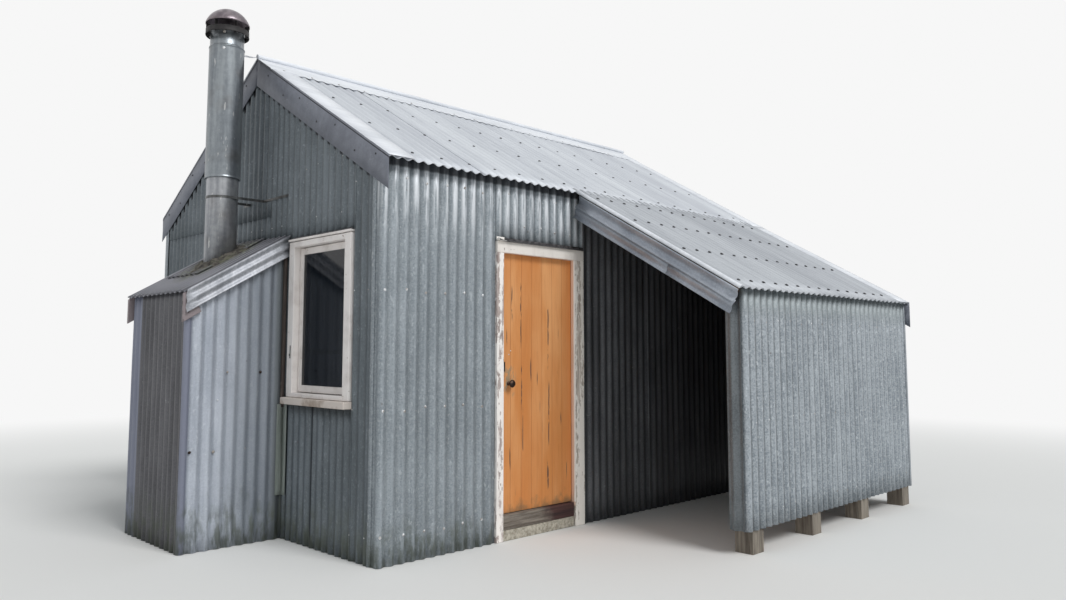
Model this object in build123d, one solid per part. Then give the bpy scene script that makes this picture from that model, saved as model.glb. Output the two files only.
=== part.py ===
from build123d import *
import math
import os

# Backcountry hut of corrugated iron on a timber frame, with a catslide woodshed,
# a fireplace alcove and a flue. Millimetres, +Z up, ground at z = 0.
# While it is set out, x = 0 is the outer face of the near gable wall, y = 0 is the
# ridge line, and the front is towards -Y. The finished pieces are moved so that the
# origin is under the middle of the outline.

# Sheet iron
CORRUGATION = 76.2
CORRUGATION_DEPTH = 17.0
SHEET = 1.2
FLASHING = 1.5
FINE_FLATS = 4
PLAIN_FLATS = 2

# Timber
STUD_WIDTH = 45.0
STUD_DEPTH = 95.0
STUD_SPACING = 600.0
SHED_STUD_DEPTH = 70.0
PURLIN_WIDTH = 70.0
PURLIN_DEPTH = 45.0
RAFTER_DEPTH = 95.0
RAFTER_SPACING = 850.0
JOIST_DEPTH = 95.0
FLOOR_BOARD = 22.0
RIDGE_BOARD = 25.0
RIDGE_BOARD_DEPTH = 150.0

# Hut body
HUT_LENGTH = 4247.0
HUT_WIDTH = 3250.0
ROOF_PITCH = 30.6
EAVE_HEIGHT = 2383.0
EAVE_OVERHANG = 77.0
VERGE_OVERHANG = 8.0
FLOOR_LEVEL = 165.0
PURLIN_STEPS = (140.0, 700.0, 1230.0, 1700.0)
PILE = 125.0
PILE_SPACING = 1500.0
IRON_REVEAL = 6.0

# Woodshed under the catslide
SHED_START = 1680.0
SHED_PROJECTION = 1345.0
SHED_EAVE_OVERHANG = 40.0
SHED_PITCH = 29.9
SHED_LAP = 90.0
SHED_WALL_START = 1745.0
SHED_WALL_FOOT = 145.0
SHED_RETURN = 130.0
SHED_PURLIN_STEPS = (95.0, 560.0, 1025.0, 1400.0)
SHED_PILE_SPACING = 780.0

# Fireplace alcove
ALCOVE_START = 1111.0
ALCOVE_WIDTH = 924.0
ALCOVE_DEPTH = 675.0
ALCOVE_ROOF_HEIGHT = 2028.0
ALCOVE_EAVE_OVERHANG = 25.0
ALCOVE_VERGE = 38.0
ALCOVE_FLASHING_DEPTH = 125.0
ALCOVE_BOARD_DEPTH = 135.0
ALCOVE_BOARD = 20.0
COVER_WIDTH = 62.0
COVER_FOOT = 285.0
ALCOVE_STUD = 45.0
ALCOVE_NOG = 800.0
ALCOVE_PURLIN_STEPS = (84.0, 745.0)

# Door
DOOR_START = 980.0
DOOR_WIDTH = 689.0
DOOR_HEAD = 1889.0
DOOR_LEAF_THICKNESS = 40.0
DOOR_RECESS = 34.0
DOOR_CLEARANCE = 5.0
DOOR_ARC = 2.0
JAMB_NEAR_FACE = 61.0
JAMB_FAR_FACE = 105.0
DOOR_HEAD_FACE = 78.0
FRAME_PROUD = 7.0
DOOR_STOP = 12.0
JAMB = 40.0
LEAF_BOARD = 20.0
LEAF_BOARDS = 6
LEDGE_WIDTH = 110.0
LEDGE_INSET = 25.0
LEDGE_MARGIN = 160.0
BOARD_SEAM = 6.0
BOARD_SEAM_DEPTH = 4.0
STEP_HEIGHT = 70.0
KNOB_HEIGHT = 1017.0
KNOB_RADIUS = 26.0
KNOB_DEPTH = 30.0
KNOB_NECK = 9.0
KNOB_REACH = 38.0
KNOB_INSET = 76.0
KEY_PLATE = (28.0, 3.0, 65.0)
KEY_PLATE_RISE = 55.0
HINGE_HEIGHTS = (420.0, 1640.0)
HINGE_RADIUS = 4.5
HINGE_LENGTH = 90.0
HINGE_FLAP = 36.0
FLAP = 2.5

# Window
WINDOW_START = 303.0
WINDOW_WIDTH = 758.0
WINDOW_SILL = 932.0
WINDOW_HEIGHT = 1049.0
WINDOW_STILE = 70.0
WINDOW_RAIL = 56.0
WINDOW_FOOT_RAIL = 28.0
WINDOW_PROUD = 12.0
SASH_STILE = 50.0
SASH_THICKNESS = 38.0
SASH_RECESS = 30.0
GLASS = 4.0
SILL_DEPTH = 50.0
SILL_PROJECTION = 55.0
SILL_HORN = 18.0
SILL_FALL = 12.0
SILL_BACK_FALL = 3.0

# Flashings
BARGE_DEPTH = 198.0
BARGE_TOP = 200.0
SHED_BARGE_DEPTH = 165.0
RIDGE_ROLL = 15.0
RIDGE_WING = 265.0
RIDGE_END = 4.0
HEAD_FLASHING_RISE = 30.0
HEAD_FLASHING_LIP = 6.0

# Flue
FLUE_FROM_WALL = 265.0
FLUE_FROM_RIDGE = 52.0
FLUE_PIPE_RADIUS = 105.5
FLUE_CASING_RADIUS = 119.0
FLUE_WALL = 2.0
FLUE_FOOT = 1450.0
FLUE_CASING_FOOT = 2435.0
FLUE_CASING_TOP = 3500.0
PIPE_BELOW_CASING = 20.0
FLUE_STRAP_HEIGHT = 2290.0
CAP_RADIUS = 150.0
CAP_RISE = 108.0
CAP_GAP = 60.0
CAP_SKIRT = 8.0
CAP_FLATS = 3
CAP_CROWN = 15.0
CAP_FINS = 3
CAP_RING_DROP = 90.0
CAP_RING = 42.0
STRAP = 3.0
STRAP_WIDTH = 32.0
FLUE_GAP = 3.0
COLLAR_PLATE = 400.0
COLLAR_HEIGHT = 15.0
COLLAR_SKIRT = 200.0

# Clearances
SEAT = 0.3
JOINT = 1.0

# Sizes worked out from the ones above
IRON = CORRUGATION_DEPTH + SHEET
ROOF_TAN = math.tan(math.radians(ROOF_PITCH))
ROOF_COS = math.cos(math.radians(ROOF_PITCH))
ROOF_SIN = math.sin(math.radians(ROOF_PITCH))
SHED_TAN = math.tan(math.radians(SHED_PITCH))
SHED_COS = math.cos(math.radians(SHED_PITCH))
SHED_SIN = math.sin(math.radians(SHED_PITCH))
HALF_WIDTH = HUT_WIDTH / 2
EAVE_Y = HALF_WIDTH + EAVE_OVERHANG
RIDGE_HEIGHT = EAVE_HEIGHT + EAVE_Y * ROOF_TAN
SLOPE_LENGTH = EAVE_Y / ROOF_COS
FRAME_OUT = HALF_WIDTH - IRON
FRAME_IN = FRAME_OUT - STUD_DEPTH
FRAME_NEAR = IRON
FRAME_FAR = HUT_LENGTH - IRON
UNDER_IRON = IRON / ROOF_COS
UNDER_PURLIN = (IRON + PURLIN_DEPTH) / ROOF_COS
UNDER_RAFTER = (IRON + PURLIN_DEPTH + RAFTER_DEPTH) / ROOF_COS
PILE_TOP = FLOOR_LEVEL - FLOOR_BOARD - JOIST_DEPTH
FRAME_FOOT = FLOOR_LEVEL - FLOOR_BOARD
SHED_FACE = HALF_WIDTH + SHED_PROJECTION
SHED_EAVE_Y = SHED_FACE + SHED_EAVE_OVERHANG
SHED_TOP = EAVE_HEIGHT - SHEET * 1.25 - SEAT
SHED_UNDER_IRON = IRON / SHED_COS
SHED_UNDER_PURLIN = (IRON + PURLIN_DEPTH) / SHED_COS
SHED_UNDER_RAFTER = (IRON + PURLIN_DEPTH + SHED_STUD_DEPTH) / SHED_COS
WINDOW_Y = (-HALF_WIDTH + WINDOW_START, -HALF_WIDTH + WINDOW_START + WINDOW_WIDTH)
WINDOW_TOP = WINDOW_SILL + WINDOW_HEIGHT
ALCOVE_Y = (-HALF_WIDTH + ALCOVE_START, -HALF_WIDTH + ALCOVE_START + ALCOVE_WIDTH)
ALCOVE_EAVE_X = -ALCOVE_DEPTH - ALCOVE_EAVE_OVERHANG
FIRE_TOP = ALCOVE_ROOF_HEIGHT - UNDER_PURLIN - STUD_WIDTH
PLATE_TOP = RIDGE_HEIGHT - FRAME_OUT * ROOF_TAN - UNDER_RAFTER
NOG_HEIGHT = (FRAME_FOOT + PLATE_TOP) / 2
EAVE_IRON_TOP = RIDGE_HEIGHT - HALF_WIDTH * ROOF_TAN - UNDER_IRON - IRON_REVEAL
DOOR_END = DOOR_START + DOOR_WIDTH
DOOR_FACE = -HALF_WIDTH - FRAME_PROUD
LEAF_FACE = DOOR_FACE + DOOR_RECESS + DOOR_CLEARANCE
LEAF_BACK = LEAF_FACE + DOOR_LEAF_THICKNESS
LEAF_START = DOOR_START - DOOR_STOP + DOOR_CLEARANCE + DOOR_ARC
LEAF_END = DOOR_END + DOOR_STOP - DOOR_CLEARANCE
LEAF_FOOT = FLOOR_LEVEL + DOOR_CLEARANCE
LEAF_TOP = DOOR_HEAD + DOOR_STOP - DOOR_CLEARANCE
LOW_LEDGE = LEAF_FOOT + LEDGE_MARGIN
HIGH_LEDGE = LEAF_TOP - LEDGE_MARGIN - LEDGE_WIDTH
LEDGE_HEIGHTS = (LOW_LEDGE, KNOB_HEIGHT - LEDGE_WIDTH / 2, HIGH_LEDGE)
HINGE_X = LEAF_END
HINGE_Y = LEAF_BACK + HINGE_RADIUS
CAP_BRIM = FLUE_CASING_TOP + CAP_GAP
CAP_RING_FOOT = CAP_BRIM - CAP_RING_DROP
FLUE_X = -FLUE_FROM_WALL
FLUE_Y = -FLUE_FROM_RIDGE


def roof_height(y, below=0.0):
    """Height of the main roof's crest plane at y, less a vertical drop."""
    return RIDGE_HEIGHT - abs(y) * ROOF_TAN - below


def shed_height(y, below=0.0):
    """Height of the catslide's crest plane at y, less a vertical drop."""
    return SHED_TOP - (-EAVE_Y - y) * SHED_TAN - below


def alcove_height(x, below=0.0):
    """Height of the alcove roof's crest plane at x, less a vertical drop."""
    return ALCOVE_ROOF_HEIGHT + x * ROOF_TAN - below


def block(x, y, z):
    """A squared piece between two limits along each axis."""
    size = Box(x[1] - x[0], y[1] - y[0], z[1] - z[0])
    return Pos((x[0] + x[1]) / 2, (y[0] + y[1]) / 2, (z[0] + z[1]) / 2) * size


def prism(plane, outline, depth):
    """A straight-sided outline in a plane, extruded along the plane's normal."""
    face = make_face(Polyline(*outline, close=True))
    return extrude(plane * face, depth)


def along_y(outline, x0, x1):
    """An outline of (y, z) points, run along X."""
    return prism(Plane(origin=(x0, 0, 0), x_dir=(0, 1, 0), z_dir=(1, 0, 0)), outline, x1 - x0)


def along_x(outline, y0, y1):
    """An outline of (x, z) points, run along Y."""
    plane = Plane(origin=(0, y0, 0), x_dir=(1, 0, 0), z_dir=(0, -1, 0))
    return prism(plane, outline, -(y1 - y0))


def wave(position, flats):
    """Rise of a corrugated sheet above its troughs, made of straight flats."""
    turn = (position / CORRUGATION) % 1.0
    if flats == 2:
        return CORRUGATION_DEPTH * (1 - abs(2 * turn - 1))
    if turn < 0.25:
        return 0.0
    if turn < 0.5:
        return CORRUGATION_DEPTH * (turn - 0.25) * 4
    if turn < 0.75:
        return CORRUGATION_DEPTH
    return CORRUGATION_DEPTH * (1 - turn) * 4


def sheet_outline(width, flats):
    """Section of a corrugated sheet: width along the first axis, rise along the second."""
    step = CORRUGATION / flats
    count = int(width / step - 0.01)
    stations = [index * step for index in range(count + 1)] + [width]
    top = [(u, wave(u, flats) + SHEET) for u in stations]
    bottom = [(u, wave(u, flats)) for u in reversed(stations)]
    return top + bottom


def standing_sheet(start, toward, width, z0, z1, flats=FINE_FLATS):
    """Vertical iron: its troughs' back lies on the start point, toward is its width."""
    plane = Plane(origin=(start[0], start[1], z0), x_dir=toward, z_dir=(0, 0, 1))
    return prism(plane, sheet_outline(width, flats), z1 - z0)


def front_iron(x0, x1, z0, z1, flats=FINE_FLATS, face=-HALF_WIDTH):
    """Iron facing -Y: the width is set out from the far end."""
    return standing_sheet((x1, face + IRON), (-1, 0, 0), x1 - x0, z0, z1, flats)


def rear_iron(x0, x1, z0, z1, flats=PLAIN_FLATS, face=HALF_WIDTH):
    """Iron facing +Y."""
    return standing_sheet((x0, face - IRON), (1, 0, 0), x1 - x0, z0, z1, flats)


def near_iron(y0, y1, z0, z1, flats=FINE_FLATS, face=0.0):
    """Iron facing -X."""
    return standing_sheet((face + IRON, y0), (0, 1, 0), y1 - y0, z0, z1, flats)


def far_iron(y0, y1, z0, z1, flats=PLAIN_FLATS, face=HUT_LENGTH):
    """Iron facing +X."""
    return standing_sheet((face - IRON, y1), (0, -1, 0), y1 - y0, z0, z1, flats)


def laid_sheet(eave, across, up, width, length, flats=PLAIN_FLATS):
    """Roof iron laid up a slope: its crests run through the eave point."""
    normal = Vector(*up).cross(Vector(*across))
    plane = Plane(origin=Vector(*eave) - normal * IRON, x_dir=across, z_dir=up)
    return prism(plane, sheet_outline(width, flats), length)


def gable_outline(below, half_width, foot):
    """Pentagon of the gable in (y, z): inside a wall line and under the roof."""
    return [
        (-half_width, foot),
        (half_width, foot),
        (half_width, roof_height(half_width, below)),
        (0, RIDGE_HEIGHT - below),
        (-half_width, roof_height(half_width, below)),
    ]


def shed_outline(below, y0, y1, foot):
    """Section of the woodshed in (y, z), under its roof."""
    return [(y0, foot), (y1, foot), (y1, shed_height(y1, below)), (y0, shed_height(y0, below))]


def alcove_outline(below, x0, x1, foot):
    """Section of the alcove in (x, z), under its roof."""
    return [(x0, foot), (x1, foot), (x1, alcove_height(x1, below)), (x0, alcove_height(x0, below))]


def turned(profile):
    """A piece turned about the upright axis, from its (radius, height) outline."""
    return revolve(Plane.XZ * make_face(Polyline(*profile, close=True)), Axis.Z)


def stations(start, end, spacing):
    """Evenly spaced positions from start to end, no further apart than the spacing."""
    count = max(1, math.ceil((end - start) / spacing))
    return [start + (end - start) * index / count for index in range(count + 1)]


def fuse(pieces):
    """Pieces joined into one."""
    joined = pieces[0]
    for piece in pieces[1:]:
        joined += piece
    return joined


# Ground works

def joist_stations():
    return stations(-FRAME_OUT, FRAME_OUT - STUD_WIDTH, STUD_SPACING)


def make_piles():
    """Short timber piles under the floor frame, and longer ones under the shed wall."""
    half = PILE / 2
    inner = [joist + STUD_WIDTH / 2 for joist in joist_stations()[2:-2:3]]
    piles = []
    for x in stations(FRAME_NEAR + half, FRAME_FAR - half, PILE_SPACING):
        for y in [-FRAME_OUT + half] + inner + [FRAME_OUT - half]:
            piles.append(block((x - half, x + half), (y - half, y + half), (0, PILE_TOP)))
    outer = -SHED_FACE + IRON
    for x in stations(SHED_WALL_START + IRON + PILE, FRAME_FAR - half, SHED_PILE_SPACING):
        piles.append(block((x - half, x + half), (outer, outer + PILE), (0, SHED_WALL_FOOT)))
    return piles


def make_floor_frame():
    """Joists along the hut, held by a boundary timber at each end."""
    z = (PILE_TOP, FRAME_FOOT)
    ends = (FRAME_NEAR, FRAME_FAR - STUD_WIDTH)
    pieces = [block((x, x + STUD_WIDTH), (-FRAME_OUT, FRAME_OUT), z) for x in ends]
    for y in joist_stations():
        pieces.append(block((FRAME_NEAR, FRAME_FAR), (y, y + STUD_WIDTH), z))
    return fuse(pieces)


def make_floor():
    """Floor boards' bed inside the wall frames, brought forward to the door sill."""
    z = (FRAME_FOOT, FLOOR_LEVEL)
    y = (-FRAME_IN + SEAT, FRAME_IN - SEAT)
    floor = block((FRAME_NEAR + STUD_DEPTH + SEAT, FRAME_FAR - STUD_DEPTH - SEAT), y, z)
    doorway = block((DOOR_START, DOOR_END), (LEAF_BACK + SEAT, y[0]), z)
    return floor + doorway


def make_hearth():
    """Base of the fireplace alcove."""
    inside = IRON + ALCOVE_STUD + SEAT
    x = (-ALCOVE_DEPTH + inside, FRAME_NEAR - SEAT)
    y = (ALCOVE_Y[0] + inside, ALCOVE_Y[1] - inside)
    return block(x, y, (0, FLOOR_LEVEL))


# Wall frames

def eave_frame(side):
    """Frame of the front (side -1) or rear (side 1) wall."""
    y = tuple(sorted((side * FRAME_IN, side * FRAME_OUT)))
    x = (FRAME_NEAR, FRAME_FAR)
    pieces = []
    for z in (FRAME_FOOT, NOG_HEIGHT, PLATE_TOP - STUD_WIDTH):
        pieces.append(block(x, y, (z, z + STUD_WIDTH)))
    for stud in stations(FRAME_NEAR, FRAME_FAR - STUD_WIDTH, STUD_SPACING):
        pieces.append(block((stud, stud + STUD_WIDTH), y, (FRAME_FOOT, PLATE_TOP)))
    return fuse(pieces)


def make_rear_frame():
    return eave_frame(1)


def slit(x, y, z):
    """A hairline parting, as wide as a seat, between timbers that only butt."""
    return block(*[(limits, limits + SEAT) if isinstance(limits, float) else limits for limits in (x, y, z)])


def make_front_frame():
    """Front frame in three panels round the doorway."""
    y = (-FRAME_OUT, -FRAME_IN)
    near = DOOR_START - JAMB
    far = DOOR_END + JAMB
    head = DOOR_HEAD + JAMB
    frame = eave_frame(-1)
    frame -= block((near - STUD_WIDTH, far + STUD_WIDTH), y, (0, head + STUD_WIDTH))
    lintel = block((near - STUD_WIDTH, far + STUD_WIDTH), y, (head, head + STUD_WIDTH))
    studs = [block((x, x + STUD_WIDTH), y, (FRAME_FOOT, head)) for x in (near - STUD_WIDTH, far)]
    frame = fuse([frame, lintel] + studs)
    for x in (near - SEAT, far):
        frame -= slit(x, y, (0, PLATE_TOP))
    return frame


def gable_frame(x0):
    """Frame of a gable between the eave frames, cut to the underside of the purlins."""
    half = FRAME_IN - SEAT
    x = (x0, x0 + STUD_DEPTH)
    whole = along_y(gable_outline(UNDER_PURLIN, half, FRAME_FOOT), *x)
    under = UNDER_PURLIN + STUD_WIDTH / ROOF_COS
    inner = along_y(gable_outline(under, half - STUD_WIDTH, FRAME_FOOT + STUD_WIDTH), *x)
    pieces = [whole - inner]
    for y in stations(-half, half - STUD_WIDTH, STUD_SPACING)[1:-1]:
        stud = block(x, (y, y + STUD_WIDTH), (FRAME_FOOT, RIDGE_HEIGHT))
        pieces.append(stud & whole)
    for z in (NOG_HEIGHT, PLATE_TOP - STUD_WIDTH, PLATE_TOP + STUD_SPACING):
        nog = block(x, (-half, half), (z, z + STUD_WIDTH))
        pieces.append(nog & whole)
    return fuse(pieces)


def make_near_gable_frame():
    """Near gable frame in panels round the window and the fireplace opening."""
    x = (FRAME_NEAR, FRAME_NEAR + STUD_DEPTH)
    window_y = (WINDOW_Y[0] - STUD_WIDTH, WINDOW_Y[1] + SEAT)
    fire_y = (ALCOVE_Y[0] + IRON + ALCOVE_STUD, ALCOVE_Y[1] - IRON - ALCOVE_STUD)
    frame = gable_frame(FRAME_NEAR)
    frame -= block(x, (window_y[0], fire_y[1]), (WINDOW_SILL - SILL_DEPTH - STUD_WIDTH, WINDOW_TOP))
    frame -= block(x, fire_y, (FLOOR_LEVEL, FIRE_TOP))
    pieces = [
        frame,
        block(x, (window_y[0], fire_y[1] + STUD_WIDTH), (WINDOW_TOP, WINDOW_TOP + STUD_WIDTH)),
        block(x, (window_y[1], fire_y[1] + STUD_WIDTH), (FIRE_TOP, WINDOW_TOP)),
        block(x, (window_y[0], window_y[0] + STUD_WIDTH), (FRAME_FOOT, WINDOW_TOP)),
        block(x, (window_y[1], fire_y[0]), (FRAME_FOOT, WINDOW_TOP)),
        block(x, (fire_y[1], fire_y[1] + STUD_WIDTH), (FRAME_FOOT, WINDOW_TOP)),
        block(x, window_y, (WINDOW_SILL - SILL_DEPTH - STUD_WIDTH, WINDOW_SILL - SILL_DEPTH)),
    ]
    frame = fuse(pieces)
    for y in (WINDOW_Y[0] - SEAT, fire_y[1]):
        frame -= slit(x, y, (0, RIDGE_HEIGHT))
    frame -= slit(x, (WINDOW_Y[0], fire_y[1]), WINDOW_TOP)
    for y in (WINDOW_Y[1], fire_y[0]):
        frame -= slit(x, y, (0, WINDOW_TOP))
    return frame


def make_far_gable_frame():
    return gable_frame(FRAME_FAR - STUD_DEPTH)


# Roof timbers

def slope_section(side, step, width, near, far):
    """A timber's section, square to the main slope, between two depths under the crests."""
    def point(along, depth):
        y = side * (EAVE_Y - along * ROOF_COS - depth * ROOF_SIN)
        return (y, EAVE_HEIGHT + along * ROOF_SIN - depth * ROOF_COS)
    low = step - width / 2
    high = step + width / 2
    return [point(low, near), point(high, near), point(high, far), point(low, far)]


def rafter_stations():
    first = FRAME_NEAR + STUD_DEPTH + JOINT
    last = FRAME_FAR - STUD_DEPTH - STUD_WIDTH - JOINT
    return stations(first, last, RAFTER_SPACING)


def roof_frame(side):
    """Purlins from gable to gable on plumb-cut rafters, for one slope."""
    head = RIDGE_BOARD / 2
    rafter = [
        (side * FRAME_OUT, roof_height(FRAME_OUT, UNDER_PURLIN)),
        (side * head, roof_height(head, UNDER_PURLIN)),
        (side * head, roof_height(head, UNDER_RAFTER)),
        (side * FRAME_OUT, roof_height(FRAME_OUT, UNDER_RAFTER)),
    ]
    pieces = [along_y(rafter, x, x + STUD_WIDTH) for x in rafter_stations()]
    for step in PURLIN_STEPS:
        section = slope_section(side, step, PURLIN_WIDTH, IRON, IRON + PURLIN_DEPTH)
        pieces.append(along_y(section, FRAME_NEAR, FRAME_FAR))
    return fuse(pieces)


def make_roof_frame_front():
    return roof_frame(-1)


def make_roof_frame_rear():
    return roof_frame(1)


def make_ridge_and_ties():
    """Board between the heads of the rafters, and ties from plate to plate beside some of them."""
    top = roof_height(RIDGE_BOARD / 2, UNDER_PURLIN)
    x = (FRAME_NEAR + STUD_DEPTH + JOINT, FRAME_FAR - STUD_DEPTH - JOINT)
    timbers = [block(x, (-RIDGE_BOARD / 2, RIDGE_BOARD / 2), (top - RIDGE_BOARD_DEPTH, top))]
    outline = gable_outline(UNDER_PURLIN + JOINT, FRAME_OUT, PLATE_TOP)
    for x in rafter_stations()[1:-1:2]:
        side = (x + STUD_WIDTH, x + 2 * STUD_WIDTH)
        beam = block(side, (-FRAME_OUT, FRAME_OUT), (PLATE_TOP, PLATE_TOP + STUD_DEPTH))
        timbers.append(beam & along_y(outline, *side))
    return timbers


# Wall iron

def make_front_wall_near():
    """Front iron from the near corner to the door."""
    return front_iron(IRON + JOINT, DOOR_START - JAMB_NEAR_FACE - JOINT, 0, EAVE_IRON_TOP)


def make_front_wall_over_door():
    """Front iron over the doorway."""
    x = (DOOR_START - JAMB_NEAR_FACE, DOOR_END + JAMB_FAR_FACE)
    return front_iron(*x, DOOR_HEAD + DOOR_HEAD_FACE + JOINT, EAVE_IRON_TOP)


def make_front_wall_far():
    """Front iron inside the woodshed."""
    x = (DOOR_END + JAMB_FAR_FACE + JOINT, HUT_LENGTH - IRON - JOINT)
    return front_iron(*x, 0, EAVE_IRON_TOP, PLAIN_FLATS)


def make_rear_wall():
    return rear_iron(IRON + JOINT, HUT_LENGTH - IRON - JOINT, 0, EAVE_IRON_TOP)


def gable_trim(x):
    """The space under the roof iron that a gable's sheets are cut to."""
    return along_y(gable_outline(UNDER_IRON + IRON_REVEAL, HALF_WIDTH, 0), x[0], x[1])


def make_near_gable_wall():
    """Five sheets round the window and the alcove."""
    trim = gable_trim((-JOINT, IRON + JOINT))
    corner = near_iron(-HALF_WIDTH, WINDOW_Y[0] - JOINT, 0, RIDGE_HEIGHT) & trim
    under = near_iron(WINDOW_Y[0], ALCOVE_Y[0] - JOINT, 0, WINDOW_SILL - SILL_DEPTH - JOINT)
    beside = near_iron(WINDOW_Y[1] + JOINT, ALCOVE_Y[0] - JOINT, WINDOW_SILL - SILL_DEPTH, WINDOW_TOP)
    upper = near_iron(WINDOW_Y[0], ALCOVE_Y[1], WINDOW_TOP + JOINT, RIDGE_HEIGHT, PLAIN_FLATS) & trim
    behind = near_iron(ALCOVE_Y[1] + JOINT, HALF_WIDTH, 0, RIDGE_HEIGHT, PLAIN_FLATS) & trim
    return [corner, under, beside, upper, behind]


def make_far_gable_wall():
    trim = gable_trim((HUT_LENGTH - IRON - JOINT, HUT_LENGTH + JOINT))
    return far_iron(-HALF_WIDTH, HALF_WIDTH, 0, RIDGE_HEIGHT) & trim


# Main roof

def roof_iron(side):
    """Iron of one slope, from the eave to just short of the ridge line."""
    across = (side, 0, 0)
    up = (0, -side * ROOF_COS, ROOF_SIN)
    verge = VERGE_OVERHANG - FLASHING - SEAT
    start = HUT_LENGTH + verge if side < 0 else -verge
    length = SLOPE_LENGTH - JOINT - IRON * ROOF_TAN
    return laid_sheet((start, side * EAVE_Y, EAVE_HEIGHT), across, up, HUT_LENGTH + 2 * verge, length)


def make_roof_front():
    return roof_iron(-1)


def make_roof_rear():
    return roof_iron(1)


def make_ridge_cap():
    """Rolled ridge cap: a roll on two wings, which lie over the barge flashings."""
    under = (2 * SEAT + FLASHING) / ROOF_COS
    over = under + FLASHING / ROOF_COS
    reach = RIDGE_WING * ROOF_COS
    upper = [(y, roof_height(y) + over) for y in (-reach, 0, reach)]
    lower = [(y, roof_height(y) + under) for y in (reach, 0, -reach)]
    x = (-VERGE_OVERHANG - RIDGE_END, HUT_LENGTH + VERGE_OVERHANG + RIDGE_END)
    wings = along_y(upper + lower, *x)
    plane = Plane(origin=(x[0], 0, RIDGE_HEIGHT + over + RIDGE_ROLL - FLASHING), z_dir=(1, 0, 0))
    roll = extrude(plane * Circle(RIDGE_ROLL), x[1] - x[0])
    bore = extrude(plane * Circle(RIDGE_ROLL - FLASHING), x[1] - x[0])
    return (wings + roll) - bore


def barge(height, face, x_face, inward, y0, y1, cosine):
    """Flat barge flashing on one slope: a face down the gable and a leg over the iron."""
    low = SEAT / cosine
    high = (SEAT + FLASHING) / cosine
    deep = BARGE_DEPTH / cosine
    top = [(y0, height(y0) + high), (y1, height(y1) + high)]
    drop = [(y1, height(y1) - deep), (y0, height(y0) - deep)]
    leg = [(y1, height(y1) + low), (y0, height(y0) + low)]
    plate = along_y(top + drop, *sorted((x_face, x_face + inward * FLASHING)))
    return plate + along_y(top + leg, *sorted((x_face, x_face + inward * face)))


def make_near_barges():
    y = (JOINT, EAVE_Y + FLASHING)
    x = -VERGE_OVERHANG
    front = barge(roof_height, BARGE_TOP, x, 1, -y[1], -y[0], ROOF_COS)
    rear = barge(roof_height, BARGE_TOP, x, 1, y[0], y[1], ROOF_COS)
    return [front, rear]


def make_far_barges():
    """Far barges of both slopes; the front one stops where the shed's begins."""
    x = HUT_LENGTH + VERGE_OVERHANG
    front = barge(roof_height, BARGE_TOP, x, -1, -EAVE_Y, -JOINT, ROOF_COS)
    rear = barge(roof_height, BARGE_TOP, x, -1, JOINT, EAVE_Y + FLASHING, ROOF_COS)
    shed = barge(shed_height, BARGE_TOP, x, -1, -SHED_EAVE_Y - FLASHING, -EAVE_Y - JOINT, SHED_COS)
    return [front, rear, shed]


# Woodshed

def shed_point(along, depth):
    """A (y, z) point: along the slope from the shed's eave, and a depth under its crests."""
    y = -SHED_EAVE_Y + along * SHED_COS + depth * SHED_SIN
    return (y, shed_height(-SHED_EAVE_Y) + along * SHED_SIN - depth * SHED_COS)


def make_shed_roof():
    """Iron of the catslide, nested under the main roof's eave."""
    verge = VERGE_OVERHANG - FLASHING - SEAT
    start = HUT_LENGTH + verge
    eave = (start, -SHED_EAVE_Y, shed_height(-SHED_EAVE_Y))
    length = (SHED_EAVE_Y - EAVE_Y + SHED_LAP) / SHED_COS
    width = start - SHED_START + IRON
    return laid_sheet(eave, (-1, 0, 0), (0, SHED_COS, SHED_SIN), width, length)


def make_shed_roof_frame():
    """Purlins on rafters, from the shed's plate up to a ledger on the front wall."""
    ledger_y = (-HALF_WIDTH - STUD_WIDTH, -HALF_WIDTH)
    ledger_top = shed_height(ledger_y[0], SHED_UNDER_PURLIN)
    x = (DOOR_END + JAMB_FAR_FACE + STUD_WIDTH, FRAME_FAR)
    ledger = block(x, ledger_y, (ledger_top - SHED_STUD_DEPTH / SHED_COS, ledger_top))
    pieces = []
    y = (-SHED_FACE + IRON, ledger_y[0] - SEAT)
    rafter = [(y[0], shed_height(y[0], SHED_UNDER_PURLIN)), (y[1], shed_height(y[1], SHED_UNDER_PURLIN))]
    rafter += [(y[1], shed_height(y[1], SHED_UNDER_RAFTER)), (y[0], shed_height(y[0], SHED_UNDER_RAFTER))]
    last = FRAME_FAR - SHED_STUD_DEPTH - STUD_WIDTH - JOINT
    for station in stations(x[0], last, RAFTER_SPACING):
        pieces.append(along_y(rafter, station, station + STUD_WIDTH))
    for step in SHED_PURLIN_STEPS:
        edges = (step - PURLIN_WIDTH / 2, step + PURLIN_WIDTH / 2)
        section = [shed_point(edge, IRON) for edge in edges]
        section += [shed_point(edge, IRON + PURLIN_DEPTH) for edge in reversed(edges)]
        pieces.append(along_y(section, SHED_START, FRAME_FAR))
    return [fuse(pieces), ledger]


def make_shed_wall_frame():
    """Frame of the shed's outer wall, on its piles."""
    x = (SHED_WALL_START + IRON, FRAME_FAR)
    y = (-SHED_FACE + IRON, -SHED_FACE + IRON + SHED_STUD_DEPTH)
    top = shed_height(y[0], SHED_UNDER_RAFTER + SEAT)
    middle = (SHED_WALL_FOOT + top) / 2
    pieces = [block(x, y, (z, z + STUD_WIDTH)) for z in (SHED_WALL_FOOT, middle, top - STUD_WIDTH)]
    for stud in stations(x[0], x[1] - STUD_WIDTH, STUD_SPACING):
        pieces.append(block((stud, stud + STUD_WIDTH), y, (SHED_WALL_FOOT, top)))
    return fuse(pieces)


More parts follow.
